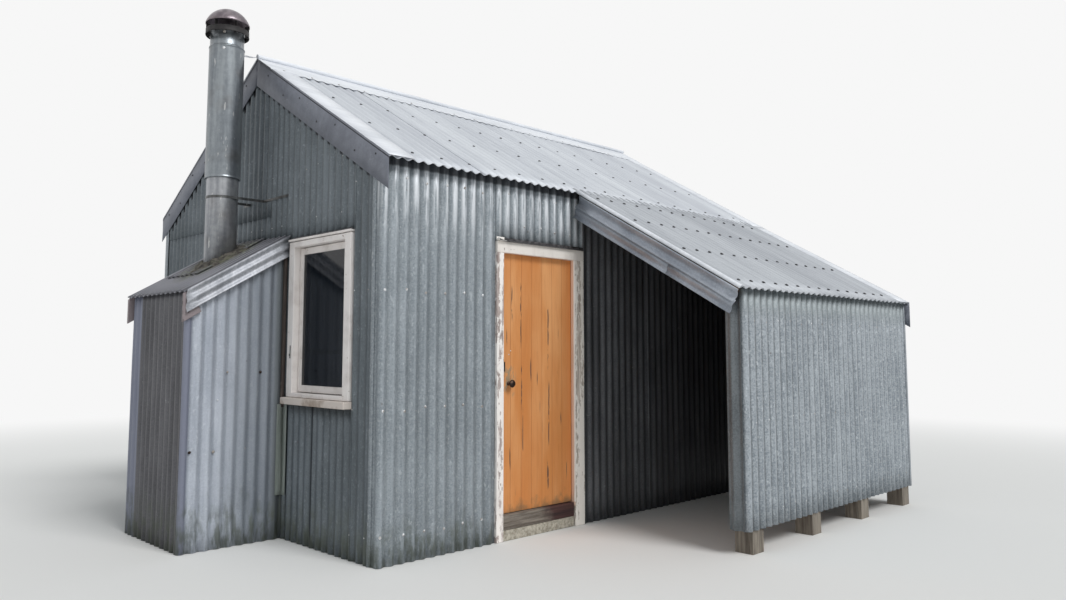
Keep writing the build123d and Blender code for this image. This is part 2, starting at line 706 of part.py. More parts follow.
def make_shed_end_frame():
    """Frame of the shed's far end, between its outer wall and the hut."""
    x = (FRAME_FAR - SHED_STUD_DEPTH, FRAME_FAR)
    y = (-SHED_FACE + IRON + SHED_STUD_DEPTH + JOINT, -HALF_WIDTH - STUD_WIDTH - JOINT)
    whole = along_y(shed_outline(SHED_UNDER_PURLIN, *y, SHED_WALL_FOOT), *x)
    inner = along_y(
        shed_outline(SHED_UNDER_PURLIN + STUD_WIDTH / SHED_COS, y[0] + STUD_WIDTH, y[1] - STUD_WIDTH,
                     SHED_WALL_FOOT + STUD_WIDTH),
        *x,
    )
    pieces = [whole - inner]
    for stud in stations(y[0], y[1] - STUD_WIDTH, STUD_SPACING)[1:-1]:
        pieces.append(block(x, (stud, stud + STUD_WIDTH), (SHED_WALL_FOOT, RIDGE_HEIGHT)) & whole)
    return fuse(pieces)


def shed_trim(below, y0, y1, x0, x1):
    """The space under a depth of the shed's roof that its iron is cut to."""
    return along_y(shed_outline(below, y0, y1, 0), x0, x1)


def make_shed_walls():
    """Iron of the shed, clear of the ground: outer wall, strip round the corner post, far end."""
    top = shed_height(-SHED_FACE, SHED_UNDER_IRON) - IRON_REVEAL
    x = (SHED_WALL_START + IRON + JOINT, HUT_LENGTH - IRON - JOINT)
    outer = front_iron(*x, SHED_WALL_FOOT, top, PLAIN_FLATS, -SHED_FACE)
    y = (-SHED_FACE, -SHED_FACE + SHED_RETURN)
    trim = shed_trim(SHED_UNDER_PURLIN + JOINT, *y, SHED_WALL_START - JOINT, x[0])
    strip = near_iron(*y, SHED_WALL_FOOT, RIDGE_HEIGHT, face=SHED_WALL_START) & trim
    y = (-SHED_FACE, -HALF_WIDTH - JOINT)
    trim = shed_trim(SHED_UNDER_IRON + IRON_REVEAL, *y, x[1], HUT_LENGTH + JOINT)
    end = far_iron(*y, SHED_WALL_FOOT, RIDGE_HEIGHT) & trim
    return [outer, strip, end]


def make_shed_barge():
    """Strip of corrugated iron along the catslide's open verge, on the purlin ends."""
    top = shed_point(0, IRON + SEAT)
    down = (0, SHED_SIN, -SHED_COS)
    plane = Plane(origin=(SHED_START, *top), x_dir=down, z_dir=(0, SHED_COS, SHED_SIN))
    reach = SHED_EAVE_Y - HALF_WIDTH - JOINT - (IRON + SEAT + SHED_BARGE_DEPTH) * SHED_SIN
    return prism(plane, sheet_outline(SHED_BARGE_DEPTH, FINE_FLATS), reach / SHED_COS)


# Fireplace alcove

def make_alcove_frame():
    """Three light frames, for the near side, far side and end, and two purlins clear of the flue."""
    side_x = (-ALCOVE_DEPTH + IRON, FRAME_NEAR - SEAT)
    under = UNDER_PURLIN + SEAT
    size = ALCOVE_STUD
    frames = []
    for y in (ALCOVE_Y[0] + IRON, ALCOVE_Y[1] - IRON - size):
        whole = along_x(alcove_outline(under, *side_x, 0), y, y + size)
        inner_x = (side_x[0] + size, side_x[1] - size)
        inner = along_x(alcove_outline(under + size / ROOF_COS, *inner_x, size), y, y + size)
        nog = block(side_x, (y, y + size), (ALCOVE_NOG, ALCOVE_NOG + size))
        frames.append(fuse([whole - inner, nog]))
    x = (-ALCOVE_DEPTH + IRON, -ALCOVE_DEPTH + IRON + size)
    y = (ALCOVE_Y[0] + IRON + size + SEAT, ALCOVE_Y[1] - IRON - size - SEAT)
    top = alcove_height(x[0], under)
    pieces = [block(x, y, (z, z + size)) for z in (0, ALCOVE_NOG, top - size)]
    for stud in stations(y[0], y[1] - size, STUD_SPACING):
        pieces.append(block(x, (stud, stud + size), (0, top)))
    return frames + [fuse(pieces)] + alcove_purlins()


def alcove_purlins():
    purlins = []
    for step in ALCOVE_PURLIN_STEPS:
        outline = []
        for along, depth in ((-1, IRON), (1, IRON), (1, IRON + PURLIN_DEPTH), (-1, IRON + PURLIN_DEPTH)):
            reach = step + along * PURLIN_WIDTH / 2
            x = ALCOVE_EAVE_X + reach * ROOF_COS + depth * ROOF_SIN
            z = alcove_height(ALCOVE_EAVE_X) + reach * ROOF_SIN - depth * ROOF_COS
            outline.append((x, z))
        purlins.append(along_x(outline, ALCOVE_Y[0] + IRON, ALCOVE_Y[1] - IRON))
    return purlins


def make_alcove_walls():
    """Iron of the alcove: near side, end and far side."""
    x = (-ALCOVE_DEPTH + IRON + JOINT, -JOINT)
    trim = along_x(alcove_outline(UNDER_IRON + IRON_REVEAL, *x, 0), ALCOVE_Y[0] - JOINT, ALCOVE_Y[1] + JOINT)
    near = front_iron(*x, 0, RIDGE_HEIGHT, face=ALCOVE_Y[0]) & trim
    far = rear_iron(*x, 0, RIDGE_HEIGHT, PLAIN_FLATS, ALCOVE_Y[1]) & trim
    top = alcove_height(-ALCOVE_DEPTH, UNDER_IRON) - IRON_REVEAL
    end = near_iron(*ALCOVE_Y, 0, top, face=-ALCOVE_DEPTH)
    return [near, end, far]


def flue_cylinder(radius, z0, z1):
    return Pos(FLUE_X, FLUE_Y, (z0 + z1) / 2) * Cylinder(radius, z1 - z0)


def make_alcove_roof():
    """Iron of the alcove roof, with the hole for the flue."""
    eave = (ALCOVE_EAVE_X, ALCOVE_Y[0] - ALCOVE_VERGE, alcove_height(ALCOVE_EAVE_X))
    length = (-ALCOVE_EAVE_X - JOINT - IRON * ROOF_SIN) / ROOF_COS
    width = ALCOVE_WIDTH + 2 * ALCOVE_VERGE
    iron = laid_sheet(eave, (0, 1, 0), (ROOF_COS, 0, ROOF_SIN), width, length)
    return iron - flue_cylinder(FLUE_PIPE_RADIUS + FLUE_GAP, 0, RIDGE_HEIGHT)


def make_alcove_boards():
    """Timber verge boards on the alcove's side walls, and a cover strip up its corner by the window."""
    top = UNDER_IRON + SEAT
    foot = top + ALCOVE_BOARD_DEPTH / ROOF_COS
    ends = (ALCOVE_EAVE_X, -SEAT)
    section = [(x, alcove_height(x, top)) for x in ends]
    section += [(x, alcove_height(x, foot)) for x in reversed(ends)]
    near = along_x(section, ALCOVE_Y[0] - ALCOVE_BOARD, ALCOVE_Y[0])
    far = along_x(section, ALCOVE_Y[1], ALCOVE_Y[1] + ALCOVE_BOARD)
    strip_y = (ALCOVE_Y[0] - SEAT - ALCOVE_BOARD, ALCOVE_Y[0] - SEAT)
    strip_top = alcove_height(-COVER_WIDTH, foot) - JOINT
    return [near, far, block((-COVER_WIDTH, -SEAT), strip_y, (COVER_FOOT, strip_top))]


def make_alcove_verges():
    """Strips of corrugated iron along the alcove's verges, on the boards."""
    under = UNDER_IRON + SEAT
    down = (ROOF_SIN, 0, -ROOF_COS)
    head_x = -JOINT - ALCOVE_FLASHING_DEPTH * ROOF_SIN
    head = (head_x, ALCOVE_Y[0] - ALCOVE_BOARD, alcove_height(head_x, under))
    foot = (ALCOVE_EAVE_X, ALCOVE_Y[1] + ALCOVE_BOARD, alcove_height(ALCOVE_EAVE_X, under))
    near = Plane(origin=head, x_dir=down, z_dir=(-ROOF_COS, 0, -ROOF_SIN))
    far = Plane(origin=foot, x_dir=down, z_dir=(ROOF_COS, 0, ROOF_SIN))
    section = sheet_outline(ALCOVE_FLASHING_DEPTH, FINE_FLATS)
    return [prism(plane, section, (head_x - ALCOVE_EAVE_X) / ROOF_COS) for plane in (near, far)]


# Door

def make_door_jambs():
    """Rebated jambs with their wide outer faces, from the ground up."""
    jambs = []
    y_in = -FRAME_IN
    for side in (-1, 1):
        edge = DOOR_START if side < 0 else DOOR_END
        face = JAMB_NEAR_FACE if side < 0 else JAMB_FAR_FACE
        outer = tuple(sorted((edge, edge + side * face)))
        body = tuple(sorted((edge, edge + side * JAMB)))
        rebate = tuple(sorted((edge - side, edge + side * DOOR_STOP)))
        jamb = block(outer, (DOOR_FACE, -FRAME_OUT), (0, DOOR_HEAD))
        jamb += block(body, (DOOR_FACE, y_in), (FRAME_FOOT, DOOR_HEAD))
        jamb -= block(rebate, (LEAF_FACE - DOOR_CLEARANCE, y_in), (FLOOR_LEVEL, DOOR_HEAD))
        jambs.append(jamb)
    return jambs


def make_door_head():
    """Head of the door frame, rebated like the jambs."""
    x = (DOOR_START - JAMB_NEAR_FACE, DOOR_END + JAMB_FAR_FACE)
    head = block(x, (DOOR_FACE, -FRAME_OUT), (DOOR_HEAD, DOOR_HEAD + DOOR_HEAD_FACE))
    head += block((DOOR_START - JAMB, DOOR_END + JAMB), (DOOR_FACE, -FRAME_IN), (DOOR_HEAD, DOOR_HEAD + JAMB))
    rebate_x = (DOOR_START - DOOR_STOP, DOOR_END + DOOR_STOP)
    rebate_y = (LEAF_FACE - DOOR_CLEARANCE, -FRAME_IN)
    return head - block(rebate_x, rebate_y, (DOOR_HEAD - JAMB, DOOR_HEAD + DOOR_STOP))


def make_door_sill():
    """Timber sill between the jambs: a face over the step block and a tread over the joist."""
    x = (DOOR_START, DOOR_END)
    face = block(x, (-HALF_WIDTH, -FRAME_OUT), (STEP_HEIGHT, FLOOR_LEVEL))
    return face + block(x, (-HALF_WIDTH, LEAF_BACK), (FRAME_FOOT, FLOOR_LEVEL))


def make_step_block():
    """Block of the footing that shows under the door sill."""
    return block((DOOR_START, DOOR_END), (-HALF_WIDTH, -FRAME_OUT), (0, STEP_HEIGHT))


def make_door_leaf():
    """Boarded leaf: boards with open vee joints, on three ledges at the back."""
    x = (LEAF_START, LEAF_END)
    leaf = block(x, (LEAF_FACE, LEAF_FACE + LEAF_BOARD), (LEAF_FOOT, LEAF_TOP))
    width = (LEAF_END - LEAF_START) / LEAF_BOARDS
    for index in range(1, LEAF_BOARDS):
        seam = LEAF_START + index * width
        half = BOARD_SEAM / 2
        vee = [(seam - half, LEAF_FACE), (seam + half, LEAF_FACE), (seam, LEAF_FACE + BOARD_SEAM_DEPTH)]
        leaf -= prism(Plane.XY.offset(LEAF_FOOT), vee, LEAF_TOP - LEAF_FOOT)
    for height in LEDGE_HEIGHTS:
        ledge_x = (LEAF_START + LEDGE_INSET, LEAF_END - LEDGE_INSET)
        leaf += block(ledge_x, (LEAF_FACE + LEAF_BOARD, LEAF_BACK), (height, height + LEDGE_WIDTH))
    return leaf


def make_door_knob():
    """Knob and key plate outside, and the knob's twin inside."""
    x = DOOR_START + KNOB_INSET
    end = KNOB_REACH + KNOB_DEPTH / 2
    knob = Pos(0, 0, end / 2) * Cylinder(KNOB_NECK, end) + Pos(0, 0, KNOB_REACH) * Cylinder(KNOB_RADIUS, KNOB_DEPTH)
    outside = Pos(x, LEAF_FACE, KNOB_HEIGHT) * (Rot(90, 0, 0) * knob)
    inside = Pos(x, LEAF_BACK, KNOB_HEIGHT) * (Rot(-90, 0, 0) * knob)
    wide, thick, tall = KEY_PLATE
    foot = KNOB_HEIGHT + KEY_PLATE_RISE
    side = (x - KNOB_RADIUS - wide, x - KNOB_RADIUS)
    plate = block(side, (LEAF_FACE - thick, LEAF_FACE), (foot, foot + tall))
    return [outside, inside, plate]


def make_door_hinges():
    """Butt hinge knuckles with their flaps on the back of the leaf."""
    hinges = []
    for height in HINGE_HEIGHTS:
        knuckle = Pos(HINGE_X, HINGE_Y, height) * Cylinder(HINGE_RADIUS, HINGE_LENGTH)
        z = (height - HINGE_LENGTH / 2, height + HINGE_LENGTH / 2)
        flap = block((HINGE_X - HINGE_FLAP, HINGE_X), (LEAF_BACK, LEAF_BACK + FLAP), z)
        hinges.append(knuckle + flap)
    return hinges


def make_hinge_flaps():
    """Fixed flaps of the hinges on the far jamb."""
    x = (DOOR_END + DOOR_STOP - FLAP, DOOR_END + DOOR_STOP)
    y = (HINGE_Y + HINGE_RADIUS + SEAT, -FRAME_IN)
    return [block(x, y, (height - HINGE_LENGTH / 2, height + HINGE_LENGTH / 2)) for height in HINGE_HEIGHTS]


# Window

def make_window_frame():
    """Window frame, proud of the iron, through to the inside."""
    x = (-WINDOW_PROUD, FRAME_NEAR + STUD_DEPTH)
    frame = block(x, WINDOW_Y, (WINDOW_SILL, WINDOW_TOP))
    inner_y = (WINDOW_Y[0] + WINDOW_STILE, WINDOW_Y[1] - WINDOW_STILE)
    return frame - block((x[0] - 1, x[1] + 1), inner_y, (WINDOW_SILL + WINDOW_FOOT_RAIL, WINDOW_TOP - WINDOW_RAIL))


def make_window_sash():
    """Single sash set back in the frame."""
    x = (-WINDOW_PROUD + SASH_RECESS, -WINDOW_PROUD + SASH_RECESS + SASH_THICKNESS)
    y = (WINDOW_Y[0] + WINDOW_STILE, WINDOW_Y[1] - WINDOW_STILE)
    z = (WINDOW_SILL + WINDOW_FOOT_RAIL, WINDOW_TOP - WINDOW_RAIL)
    light_y = (y[0] + SASH_STILE, y[1] - SASH_STILE)
    light_z = (z[0] + SASH_STILE, z[1] - SASH_STILE)
    return block(x, y, z) - block((x[0] - 1, x[1] + 1), light_y, light_z)


def make_window_glass():
    """Pane between the sash's stiles and rails."""
    x = -WINDOW_PROUD + SASH_RECESS + SASH_THICKNESS / 2
    y = (WINDOW_Y[0] + WINDOW_STILE + SASH_STILE, WINDOW_Y[1] - WINDOW_STILE - SASH_STILE)
    z = (WINDOW_SILL + WINDOW_FOOT_RAIL + SASH_STILE, WINDOW_TOP - WINDOW_RAIL - SASH_STILE)
    return block((x - GLASS / 2, x + GLASS / 2), y, z)


def make_window_sill():
    """Projecting timber sill with a sloped top."""
    back = FRAME_NEAR + STUD_DEPTH
    front = -SILL_PROJECTION
    foot = WINDOW_SILL - SILL_DEPTH
    lip = WINDOW_SILL - SILL_FALL
    outline = [(back, foot), (front, foot), (front, lip), (-WINDOW_PROUD, WINDOW_SILL), (back, WINDOW_SILL)]
    body = along_x(outline, WINDOW_Y[0], WINDOW_Y[1])
    horn = [(-SEAT, foot), (front, foot), (front, lip), (-SEAT, WINDOW_SILL - SILL_BACK_FALL)]
    near = along_x(horn, WINDOW_Y[0] - SILL_HORN, WINDOW_Y[0])
    return body + near


def make_head_flashings():
    """Bent strips over the door head and the window head."""
    x = (DOOR_START - JAMB_NEAR_FACE, DOOR_END + JAMB_FAR_FACE - HEAD_FLASHING_LIP)
    z = DOOR_HEAD + DOOR_HEAD_FACE + SEAT
    back = -HALF_WIDTH - SEAT
    door = block(x, (DOOR_FACE - HEAD_FLASHING_LIP, back), (z, z + FLASHING))
    door += block(x, (back - FLASHING, back), (z, z + HEAD_FLASHING_RISE))
    z = WINDOW_TOP + SEAT
    window = block((-WINDOW_PROUD - HEAD_FLASHING_LIP, -SEAT), WINDOW_Y, (z, z + FLASHING))
    window += block((-SEAT - FLASHING, -SEAT), WINDOW_Y, (z, z + HEAD_FLASHING_RISE))
    return [door, window]


# Flue

def flue_turned(profile):
    return Pos(FLUE_X, FLUE_Y, 0) * turned(profile)


def flue_ring(radius, wall, z0, z1):
    """A short tube round the flue, given by its inner radius."""
    return flue_turned([(radius, z0), (radius + wall, z0), (radius + wall, z1), (radius, z1)])


def make_flue_pipe():
    """Inner pipe, from inside the alcove up to the cap."""
    return flue_ring(FLUE_PIPE_RADIUS - FLUE_WALL, FLUE_WALL, FLUE_FOOT, FLUE_CASING_TOP - PIPE_BELOW_CASING)


def make_flue_casing():
    """Outer casing of the upper flue, closed to the pipe at its foot."""
    inner = FLUE_CASING_RADIUS - FLUE_WALL
    foot = FLUE_CASING_FOOT
    profile = [(FLUE_PIPE_RADIUS, foot), (FLUE_CASING_RADIUS, foot), (FLUE_CASING_RADIUS, FLUE_CASING_TOP)]
    profile += [(inner, FLUE_CASING_TOP), (inner, foot + FLUE_WALL), (FLUE_PIPE_RADIUS, foot + FLUE_WALL)]
    return flue_turned(profile)


def dome(radius, rise, brim):
    """Points up a dome from its brim to just short of its middle, in flats."""
    ball = (radius ** 2 + rise ** 2) / (2 * rise)
    sweep = math.asin(radius / ball)
    turns = [sweep * (CAP_FLATS - index) / CAP_FLATS for index in range(CAP_FLATS)]
    return [(ball * math.sin(turn), brim + rise - ball + ball * math.cos(turn)) for turn in turns]


def make_flue_cap():
    """Domed cap with a deep skirt over a wind ring, all held by fins round the casing."""
    skirt = CAP_BRIM - CAP_SKIRT
    profile = [(CAP_RADIUS, skirt)] + dome(CAP_RADIUS, CAP_RISE, CAP_BRIM) + [(0, CAP_BRIM + CAP_RISE)]
    profile += [(0, CAP_BRIM + CAP_RISE - CAP_CROWN), (CAP_RADIUS - FLUE_WALL, CAP_BRIM)]
    profile += [(CAP_RADIUS - FLUE_WALL, skirt)]
    cap = flue_turned(profile)
    cap += flue_ring(CAP_RADIUS - FLUE_WALL, FLUE_WALL, CAP_RING_FOOT, CAP_RING_FOOT + CAP_RING)
    reach = (FLUE_CASING_RADIUS + SEAT, CAP_RADIUS - FLUE_WALL / 2)
    fin = block(reach, (-FLUE_WALL / 2, FLUE_WALL / 2), (CAP_RING_FOOT, CAP_BRIM))
    for index in range(CAP_FINS):
        cap += Pos(FLUE_X, FLUE_Y, 0) * (Rot(0, 0, (index + 0.5) * 360 / CAP_FINS) * fin)
    return cap


def make_flue_strap():
    """Strap round the pipe with two arms to the gable."""
    z = (FLUE_STRAP_HEIGHT, FLUE_STRAP_HEIGHT + STRAP_WIDTH)
    pieces = [flue_ring(FLUE_PIPE_RADIUS + SEAT, STRAP, *z)]
    for side in (-1, 1):
        inner = FLUE_Y + side * (FLUE_PIPE_RADIUS + SEAT)
        y = tuple(sorted((inner, inner + side * STRAP)))
        pieces.append(block((FLUE_X, -SEAT), y, z))
        foot = tuple(sorted((inner, inner + side * STRAP_WIDTH)))
        pieces.append(block((-SEAT - STRAP, -SEAT), foot, z))
    return fuse(pieces)


def make_flue_collar():
    """Patch of flat iron on the alcove roof with an upstand round the pipe."""
    half = COLLAR_PLATE / 2
    x = (FLUE_X - half, -JOINT - FLASHING)
    low = SEAT / ROOF_COS
    high = (SEAT + FLASHING) / ROOF_COS
    y = (FLUE_Y - half, FLUE_Y + half)
    lower = [(x[0], alcove_height(x[0], -low)), (x[1], alcove_height(x[1], -low))]
    plate = along_x(lower + [(x[1], alcove_height(x[1], -high)), (x[0], alcove_height(x[0], -high))], *y)
    above = along_x(lower + [(x[1], RIDGE_HEIGHT), (x[0], RIDGE_HEIGHT)], *y)
    base = alcove_height(FLUE_X)
    top = base + FLUE_PIPE_RADIUS * ROOF_TAN + COLLAR_HEIGHT
    drum = flue_cylinder(FLUE_PIPE_RADIUS + FLUE_GAP, base - COLLAR_SKIRT, top)
    return (plate + (drum & above)) - flue_cylinder(FLUE_PIPE_RADIUS + SEAT, 0, RIDGE_HEIGHT)


MAKERS = {
    "piles": make_piles,
    "floor_frame": make_floor_frame,
    "floor": make_floor,
    "hearth": make_hearth,
    "front_frame": make_front_frame,
    "rear_frame": make_rear_frame,
    "near_gable_frame": make_near_gable_frame,
    "far_gable_frame": make_far_gable_frame,
    "roof_frame_front": make_roof_frame_front,
    "roof_frame_rear": make_roof_frame_rear,
    "ridge_and_ties": make_ridge_and_ties,
    "front_wall_near": make_front_wall_near,
    "front_wall_over_door": make_front_wall_over_door,
    "front_wall_far": make_front_wall_far,
    "rear_wall": make_rear_wall,
    "near_gable_wall": make_near_gable_wall,
    "far_gable_wall": make_far_gable_wall,
    "roof_front": make_roof_front,
    "roof_rear": make_roof_rear,
    "ridge_cap": make_ridge_cap,
    "near_barges": make_near_barges,
    "far_barges": make_far_barges,
    "shed_roof": make_shed_roof,
    "shed_roof_frame": make_shed_roof_frame,
    "shed_wall_frame": make_shed_wall_frame,
    "shed_end_frame": make_shed_end_frame,
    "shed_walls": make_shed_walls,
    "shed_barge": make_shed_barge,
    "alcove_frame": make_alcove_frame,
    "alcove_walls": make_alcove_walls,
    "alcove_roof": make_alcove_roof,
    "alcove_boards": make_alcove_boards,
    "alcove_verges": make_alcove_verges,
    "door_jambs": make_door_jambs,
    "door_head": make_door_head,
    "door_sill": make_door_sill,
    "step_block": make_step_block,
    "door_leaf": make_door_leaf,
    "door_knob": make_door_knob,
    "door_hinges": make_door_hinges,
    "hinge_flaps": make_hinge_flaps,
    "window_frame": make_window_frame,
    "window_sash": make_window_sash,
    "window_glass": make_window_glass,
    "window_sill": make_window_sill,
    "head_flashings": make_head_flashings,
    "flue_pipe": make_flue_pipe,
    "flue_casing": make_flue_casing,
    "flue_cap": make_flue_cap,
    "flue_strap": make_flue_strap,
    "flue_collar": make_flue_collar,
}


def main():
    os.makedirs("parts", exist_ok=True)
    shapes = {}
    for name, make in MAKERS.items():
        made = make()
        solids = made if isinstance(made, list) else made.solids()
        shapes[name] = [solid for piece in solids for solid in piece.solids()]
    box = Compound([solid for solids in shapes.values() for solid in solids]).bounding_box()
    shift = Pos(-(box.min.X + box.max.X) / 2, -(box.min.Y + box.max.Y) / 2, 0)
    for name, solids in shapes.items():
        export_step(shift * Compound(solids), f"parts/{name}.step")
    print("outline", box.size, "moved by", shift.position)


main()
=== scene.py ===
# %% [markdown]
# A small hut of corrugated iron: a gabled room, a catslide woodshed beside the door, and a
# fireplace alcove with a tall flue on the near gable. The CAD frame holds every size, and this
# file gives the hut its looks, one finish and one piece at a time. Metres, +Z up, the door
# faces -Y and the flue stands at the -X end.

# %% The frame
import math
import random

import bmesh
import bpy
from mathutils import Matrix, Vector, noise


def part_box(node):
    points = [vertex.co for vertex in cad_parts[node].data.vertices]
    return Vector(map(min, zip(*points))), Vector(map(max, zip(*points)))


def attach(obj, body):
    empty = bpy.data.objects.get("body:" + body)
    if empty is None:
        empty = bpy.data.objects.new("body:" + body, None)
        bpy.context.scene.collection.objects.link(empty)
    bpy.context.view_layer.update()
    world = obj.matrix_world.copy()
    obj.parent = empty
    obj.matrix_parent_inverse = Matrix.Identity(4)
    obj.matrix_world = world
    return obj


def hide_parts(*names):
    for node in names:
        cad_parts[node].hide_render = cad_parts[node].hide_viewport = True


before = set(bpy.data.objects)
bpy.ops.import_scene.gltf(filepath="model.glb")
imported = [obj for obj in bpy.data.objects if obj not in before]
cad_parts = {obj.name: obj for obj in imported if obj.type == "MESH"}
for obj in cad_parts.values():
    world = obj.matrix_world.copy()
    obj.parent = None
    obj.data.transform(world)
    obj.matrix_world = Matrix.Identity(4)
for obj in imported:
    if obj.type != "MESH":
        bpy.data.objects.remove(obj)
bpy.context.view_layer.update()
scene = bpy.context.scene

# %% [markdown]
# The camera comes first, so that every later choice can be looked at from the photograph's
# place. Its position and turn were solved from the hut's own straight lines. The photograph is
# 1066 by 600 pixels, and its middle lies a little under the lens's own centre, which a small
# vertical shift of the sensor repeats.

# %% Camera
PHOTO_WIDTH = 1066
FOCAL_PIXELS = 831.1
CENTRE_ABOVE_MIDDLE = 26.4
camera = bpy.data.objects.new("camera", bpy.data.cameras.new("camera"))
camera.data.lens = camera.data.sensor_width * FOCAL_PIXELS / PHOTO_WIDTH
camera.data.shift_y = -CENTRE_ABOVE_MIDDLE / PHOTO_WIDTH
camera.location = (-4.5508, -5.0388, 1.2424)
camera.rotation_euler = (math.radians(95.233), 0, math.radians(-44.715))
scene.collection.objects.link(camera)
scene.camera = camera
scene.view_settings.view_transform = "Standard"
print("lens in mm:", round(camera.data.lens, 2))

# %% [markdown]
# The hut stood under a bright, soft sky that lit the roof and the door side and left the flue
# side dim. A pale world fills every side evenly, and one wide sun, square to the front wall,
# repeats that difference. Both are kept low, so that a colour shows about as it is written.
# What the camera sees behind the hut, and what metal and glass mirror, is a plain pale grey.

# %% Light and floor
SKY_STRENGTH = 0.48
SUN_STRENGTH = 1.65
SUN_SPREAD = 25
BACKDROP = 0.93

world = bpy.data.worlds.new("studio")
scene.world = world
world.use_nodes = True
sky = world.node_tree
sky.nodes.clear()


def world_background(strength, tone):
    made = sky.nodes.new("ShaderNodeBackground")
    made.inputs["Color"].default_value = (*tone, 1)
    made.inputs["Strength"].default_value = strength
    return made


seen = sky.nodes.new("ShaderNodeLightPath")
either = sky.nodes.new("ShaderNodeMath")
either.operation = "MAXIMUM"
also = sky.nodes.new("ShaderNodeMath")
also.operation = "MAXIMUM"
sky.links.new(seen.outputs["Is Camera Ray"], either.inputs[0])
sky.links.new(seen.outputs["Is Glossy Ray"], either.inputs[1])
sky.links.new(either.outputs[0], also.inputs[0])
sky.links.new(seen.outputs["Is Transmission Ray"], also.inputs[1])
choose = sky.nodes.new("ShaderNodeMixShader")
sky.links.new(also.outputs[0], choose.inputs[0])
sky.links.new(world_background(SKY_STRENGTH, (0.95, 0.98, 1.0)).outputs[0], choose.inputs[1])
sky.links.new(world_background(1.0, (BACKDROP,) * 3).outputs[0], choose.inputs[2])
sky.links.new(choose.outputs[0], sky.nodes.new("ShaderNodeOutputWorld").inputs[0])

sun = bpy.data.objects.new("sun", bpy.data.lights.new("sun", "SUN"))
sun.data.energy = SUN_STRENGTH
sun.data.angle = math.radians(SUN_SPREAD)
sun.rotation_euler = Vector((0.02, -0.7, 0.72)).to_track_quat("Z", "Y").to_euler()
scene.collection.objects.link(sun)

FLOOR_REACH = 80
floor_shape = bmesh.new()
bmesh.ops.create_grid(floor_shape, x_segments=1, y_segments=1, size=FLOOR_REACH)
bmesh.ops.translate(floor_shape, verts=floor_shape.verts, vec=(0, 0, -0.001))
floor_mesh = bpy.data.meshes.new("studio_floor")
floor_shape.to_mesh(floor_mesh)
studio_floor = bpy.data.objects.new("studio_floor", floor_mesh)
scene.collection.objects.link(studio_floor)
print("sky", SKY_STRENGTH, "sun", SUN_STRENGTH, "backdrop", BACKDROP)

# %% [markdown]
# Paint and iron are described by colours that a painter reads from a screen, and by sums of
# patterns. Shader maths reads best as ordinary sums too, so `Amount` wraps one shader value,
# and `1 - rust * wear` then adds the Math nodes by itself.

# %% Colours and sums
def shade(red, green, blue):
    """A colour as a painter reads it from a screen, made linear."""
    def linear(part):
        part = part / 255
        return part / 12.92 if part <= 0.04045 else ((part + 0.055) / 1.055) ** 2.4
    return (linear(red), linear(green), linear(blue), 1)


class Amount:
    """One number of a material, which ordinary sums work on."""

    def __init__(self, finish, socket):
        self.finish = finish
        self.socket = socket

    def __add__(self, other):
        return self.finish.math("ADD", self, other)

    def __sub__(self, other):
        return self.finish.math("SUBTRACT", self, other)

    def __mul__(self, other):
        return self.finish.math("MULTIPLY", self, other)

    def __truediv__(self, other):
        return self.finish.math("DIVIDE", self, other)

    def __rsub__(self, other):
        return self.finish.math("SUBTRACT", other, self)

    __radd__ = __add__
    __rmul__ = __mul__


print("linear middle grey:", [round(part, 3) for part in shade(128, 128, 128)[:3]])

# %% [markdown]
# `Finish` holds one material. Its `node` method makes any node from its settings and its
# sockets, and the rest are short words for the patterns that this hut needs: clouds, zinc
# spangle, spots, and the crests and troughs of the iron. All of them read the hut's own
# coordinates, so a stain runs on from one sheet to the next.

